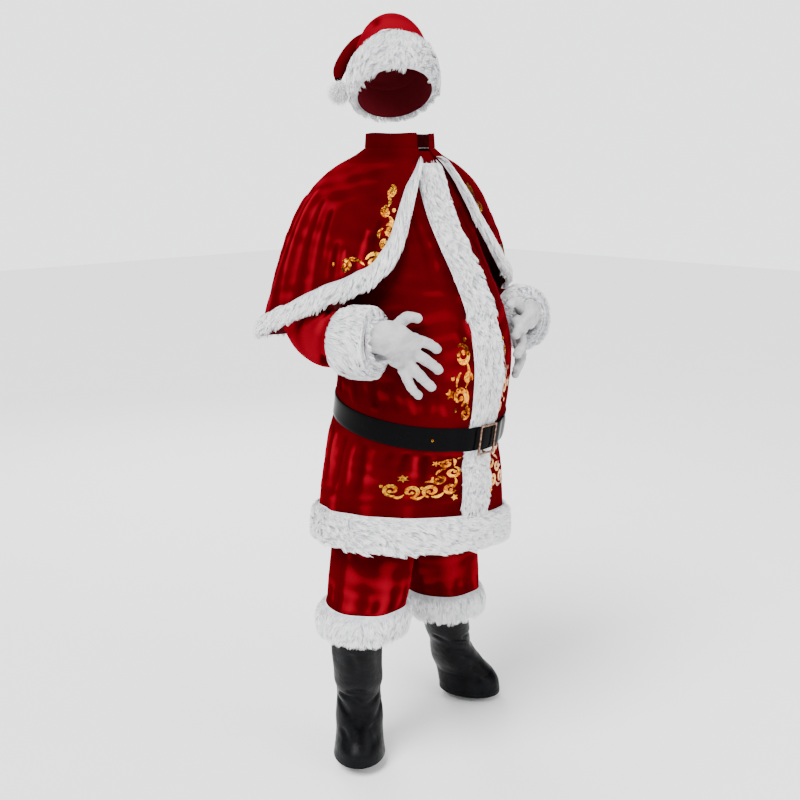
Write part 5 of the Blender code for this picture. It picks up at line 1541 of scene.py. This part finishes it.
BOOT = table(
    "height out    wide   long",
    (0.030, 0.043, 0.065, 0.088),
    (0.060, 0.037, 0.061, 0.088),
    (0.090, 0.022, 0.059, 0.080),
    (0.120, 0.009, 0.060, 0.071),
    (0.155, 0.001, 0.057, 0.061),
    (0.195, 0.000, 0.055, 0.057),
    (0.225, 0.000, 0.060, 0.061),
    (0.270, 0.000, 0.060, 0.062),
    (0.350, 0.000, 0.062, 0.063),
    (0.410, 0.000, 0.062, 0.064),
)
SHINS = {
    "right": {"top": (-0.150, -0.001), "ankle": (-0.086, 0.058), "toe": 45.0, "high": 0.412, "low": 0.030},
    "left": {"top": (0.203, 0.050), "ankle": (0.333, 0.111), "toe": -21.6, "high": 0.350, "low": 0.020},
}
LEATHERETTE = 0.0015     # thickness of the cloth-backed sheet
STIFF = 1.7              # how much deeper its creases are than the table says
BOOT_CREASES = (
    (-60, 0.200, 30, 0.165, -4.0, 6), (70, 0.190, 0, 0.170, -3.5, 6), (-80, 0.178, -10, 0.135, -4.0, 7),
    (95, 0.165, 30, 0.130, -3.5, 7), (-30, 0.215, 45, 0.205, -3.0, 5), (150, 0.205, 220, 0.175, -4.0, 7),
    (210, 0.215, 150, 0.195, -3.5, 6), (-110, 0.225, -60, 0.195, -3.0, 6), (120, 0.225, 75, 0.205, -3.0, 6),
    (-15, 0.330, -5, 0.240, -2.5, 9), (60, 0.350, 52, 0.250, -2.5, 10), (-70, 0.340, -78, 0.250, 2.5, 10),
    (170, 0.340, 178, 0.240, -3.0, 10), (-130, 0.330, -122, 0.250, -2.5, 10),
    (30, 0.120, 60, 0.070, -2.5, 8),
    (-45, 0.110, -20, 0.070, -2.5, 8), (180, 0.140, 190, 0.070, -2.5, 8),
)


def leatherette():
    finish = Finish("black_leatherette", specular_ior_level=0.06)
    grain = finish.node("ShaderNodeTexVoronoi", {}, {"Scale": 620.0, "Vector": finish.node(
        "ShaderNodeTexCoord", {}, {}, "Object")})
    dull = finish.noise(30.0, 3.0)
    colour = finish.blended((0.0016, 0.0016, 0.002, 1.0), (0.0050, 0.0052, 0.006, 1.0),
                            finish.ranged(dull, 0.3, 0.7))
    normal = finish.raised(dull, 0.003)
    normal = finish.raised(grain, 0.00018, normal)
    finish.feed(Base_Color=colour, Roughness=finish.ranged(dull, 0.3, 0.7, 0.28, 0.42), Normal=normal)
    return finish.material


def boot_plan(side, turn, height):
    shin = SHINS[side]
    heading = math.radians(shin["toe"])
    toe = np.array((-math.sin(heading), -math.cos(heading)))
    across = np.array((math.cos(heading), -math.sin(heading)))
    lean = np.clip((height - 0.08) / (shin["high"] - 0.08), 0.0, 1.0)[..., None]
    centre = np.array(shin["ankle"]) * (1 - lean) + np.array(shin["top"]) * lean
    centre = centre + toe * column(BOOT, "out", height)[..., None]
    plan = (centre + across * (column(BOOT, "wide", height) * np.sin(turn))[..., None]
            + toe * (column(BOOT, "long", height) * np.cos(turn))[..., None])
    return stack(plan[..., 0], plan[..., 1], height), centre


def boot_surface(side, turn, height, out):
    points, centre = boot_plan(side, turn, height)
    ahead, _ = boot_plan(side, turn + 0.01, height)
    behind, _ = boot_plan(side, turn - 0.01, height)
    normal = unit(np.cross(ahead - behind, np.array((0.0, 0.0, 1.0))))
    facing = np.sum(normal[..., :2] * (points[..., :2] - centre), axis=-1, keepdims=True)
    return points + normal * np.sign(facing) * np.asarray(out)[..., None]


def boot_form(side):
    shin = SHINS[side]

    def form(width, length, out):
        turn = math.tau * (width - 0.5)
        height = shin["low"] + (shin["high"] - shin["low"]) * length
        crease = creased_round(turn, height, 0.06, BOOT_CREASES)
        free = eased(height, shin["low"] + 0.012, shin["low"] + 0.03)
        free = free * (1.0 - eased(height, shin["high"] - 0.05, shin["high"] - 0.02))
        seam = np.exp(-((turn - math.radians(100.0)) / 0.03) ** 2)
        hem = np.exp(-((height - shin["low"] - 0.016) / 0.0016) ** 2)
        level = STIFF * crease * free - 0.0012 * seam - 0.0010 * hem
        return boot_surface(side, turn, height, level + out)
    return form


STITCH = {"long": 0.0032, "gap": 0.0016, "thick": 0.0009}


def stitches(side):
    """A row of thread stitches round the hem of a boot cover."""
    shin = SHINS[side]
    count = 92
    turn = np.linspace(-math.pi, math.pi, count, endpoint=False)
    level = np.full(count, shin["low"] + 0.019)
    reach = STITCH["long"] / 2 / 0.075
    offsets = ((-1.0, 0.0), (0.0, -1.0), (1.0, 0.0), (0.0, 1.0))
    half = STITCH["thick"] / 2
    points = [boot_surface(side, turn + reach * over, level + up * half, np.full(count, 0.0001))
              for over, up in offsets]
    points.append(boot_surface(side, turn, level, np.full(count, STITCH["thick"] * 0.7)))
    points = np.stack(points, axis=1).reshape(-1, 3) - DROP
    faces = [(5 * at + one, 5 * at + two, 5 * at + 4) for at in range(count)
             for one, two in ((0, 1), (1, 2), (2, 3), (3, 0))]
    faces += [(5 * at + 3, 5 * at + 2, 5 * at + 1, 5 * at) for at in range(count)]
    mesh = bpy.data.meshes.new("boot_stitches_" + side)
    mesh.from_pydata(points, [], faces)
    piece = bpy.data.objects.new("boot_stitches_" + side, mesh)
    bpy.context.scene.collection.objects.link(piece)
    mesh.materials.append(SHINE)
    turn_out(piece)
    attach(piece, "root")
    return piece


SHINE = leatherette()
boots, boot_threads = {}, {}
for side in ("right", "left"):
    boots[side] = cloth(f"boot_cover_{side}_sheet", boot_form(side), 96, 110, (0.40, 0.39),
                        (SHINE,), LEATHERETTE)
    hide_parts("boot_cover_" + side)
    boot_threads[side] = stitches(side)


# Each side's cape foil and breeches panels, looked up once more; nothing further is done with them.

for side in ("right", "left"):
    foils["cape_" + side]
    breeches["breeches_front_" + side]
    breeches["breeches_back_" + side]


# The studio: a pale floor, even light from all sides, and one large soft lamp to the suit's right.

def pale_floor():
    finish = Finish("pale_floor", specular_ior_level=0.2)
    grain = finish.noise(3.0, 2.0)
    finish.feed(Base_Color=finish.blended((0.93, 0.93, 0.93, 1.0), (0.96, 0.96, 0.96, 1.0), grain),
                Roughness=finish.ranged(grain, 0.0, 1.0, 0.7, 0.8))
    return finish.material


bpy.ops.object.select_all(action="DESELECT")
bpy.ops.mesh.primitive_plane_add(size=24.0, location=(0.0, 0.0, -SHOULDERS))
floor = bpy.context.object
floor.name = "floor"
floor.data.materials.append(pale_floor())

world = bpy.data.worlds.new("studio")
bpy.context.scene.world = world
world.use_nodes = True
backdrop = world.node_tree.nodes["Background"]
backdrop.inputs["Color"].default_value = (0.97, 0.98, 1.0, 1.0)
ray = world.node_tree.nodes.new("ShaderNodeLightPath")
around = world.node_tree.nodes.new("ShaderNodeMapRange")
around.inputs["To Min"].default_value = 0.95
around.inputs["To Max"].default_value = 0.15
world.node_tree.links.new(ray.outputs["Is Glossy Ray"], around.inputs["Value"])
behind = world.node_tree.nodes.new("ShaderNodeMapRange")
behind.inputs["To Max"].default_value = 2.5
world.node_tree.links.new(ray.outputs["Is Camera Ray"], behind.inputs["Value"])
world.node_tree.links.new(around.outputs["Result"], behind.inputs["To Min"])
world.node_tree.links.new(behind.outputs["Result"], backdrop.inputs["Strength"])

AIM = Vector((0.0, 0.0, 0.92 - SHOULDERS))
LAMPS = (
    ("fill", (0.6, -3.4, 0.5), 2.0, 70.0),
    ("back", (1.4, 3.0, 1.1), 1.6, 70.0),
)
for name, place, size, power in LAMPS:
    bpy.ops.object.light_add(type="AREA", location=place)
    lamp = bpy.context.object
    lamp.name = name + "_lamp"
    lamp.data.size = size
    lamp.data.energy = power
    lamp.rotation_euler = (AIM - Vector(place)).to_track_quat("-Z", "Y").to_euler()

sunlit = Vector((-1.0, -0.25, 1.25))
bpy.ops.object.light_add(type="SUN", rotation=sunlit.to_track_quat("Z", "Y").to_euler())
sky = bpy.context.object
sky.name = "soft_key"
sky.data.energy = 5.6
sky.data.angle = math.radians(30.0)

EYE = Vector((-1.8385, -1.8385, 1.5 - SHOULDERS))
SENSOR = 36.0            # width of the camera's film in millimetres
FOCUS = 1110.0 / 800.0   # focal length as a share of the film's width
bpy.ops.object.camera_add(location=EYE, rotation=(AIM - EYE).to_track_quat("-Z", "Y").to_euler())
camera = bpy.context.object
camera.data.sensor_width = SENSOR
camera.data.lens = FOCUS * SENSOR
bpy.context.scene.camera = camera
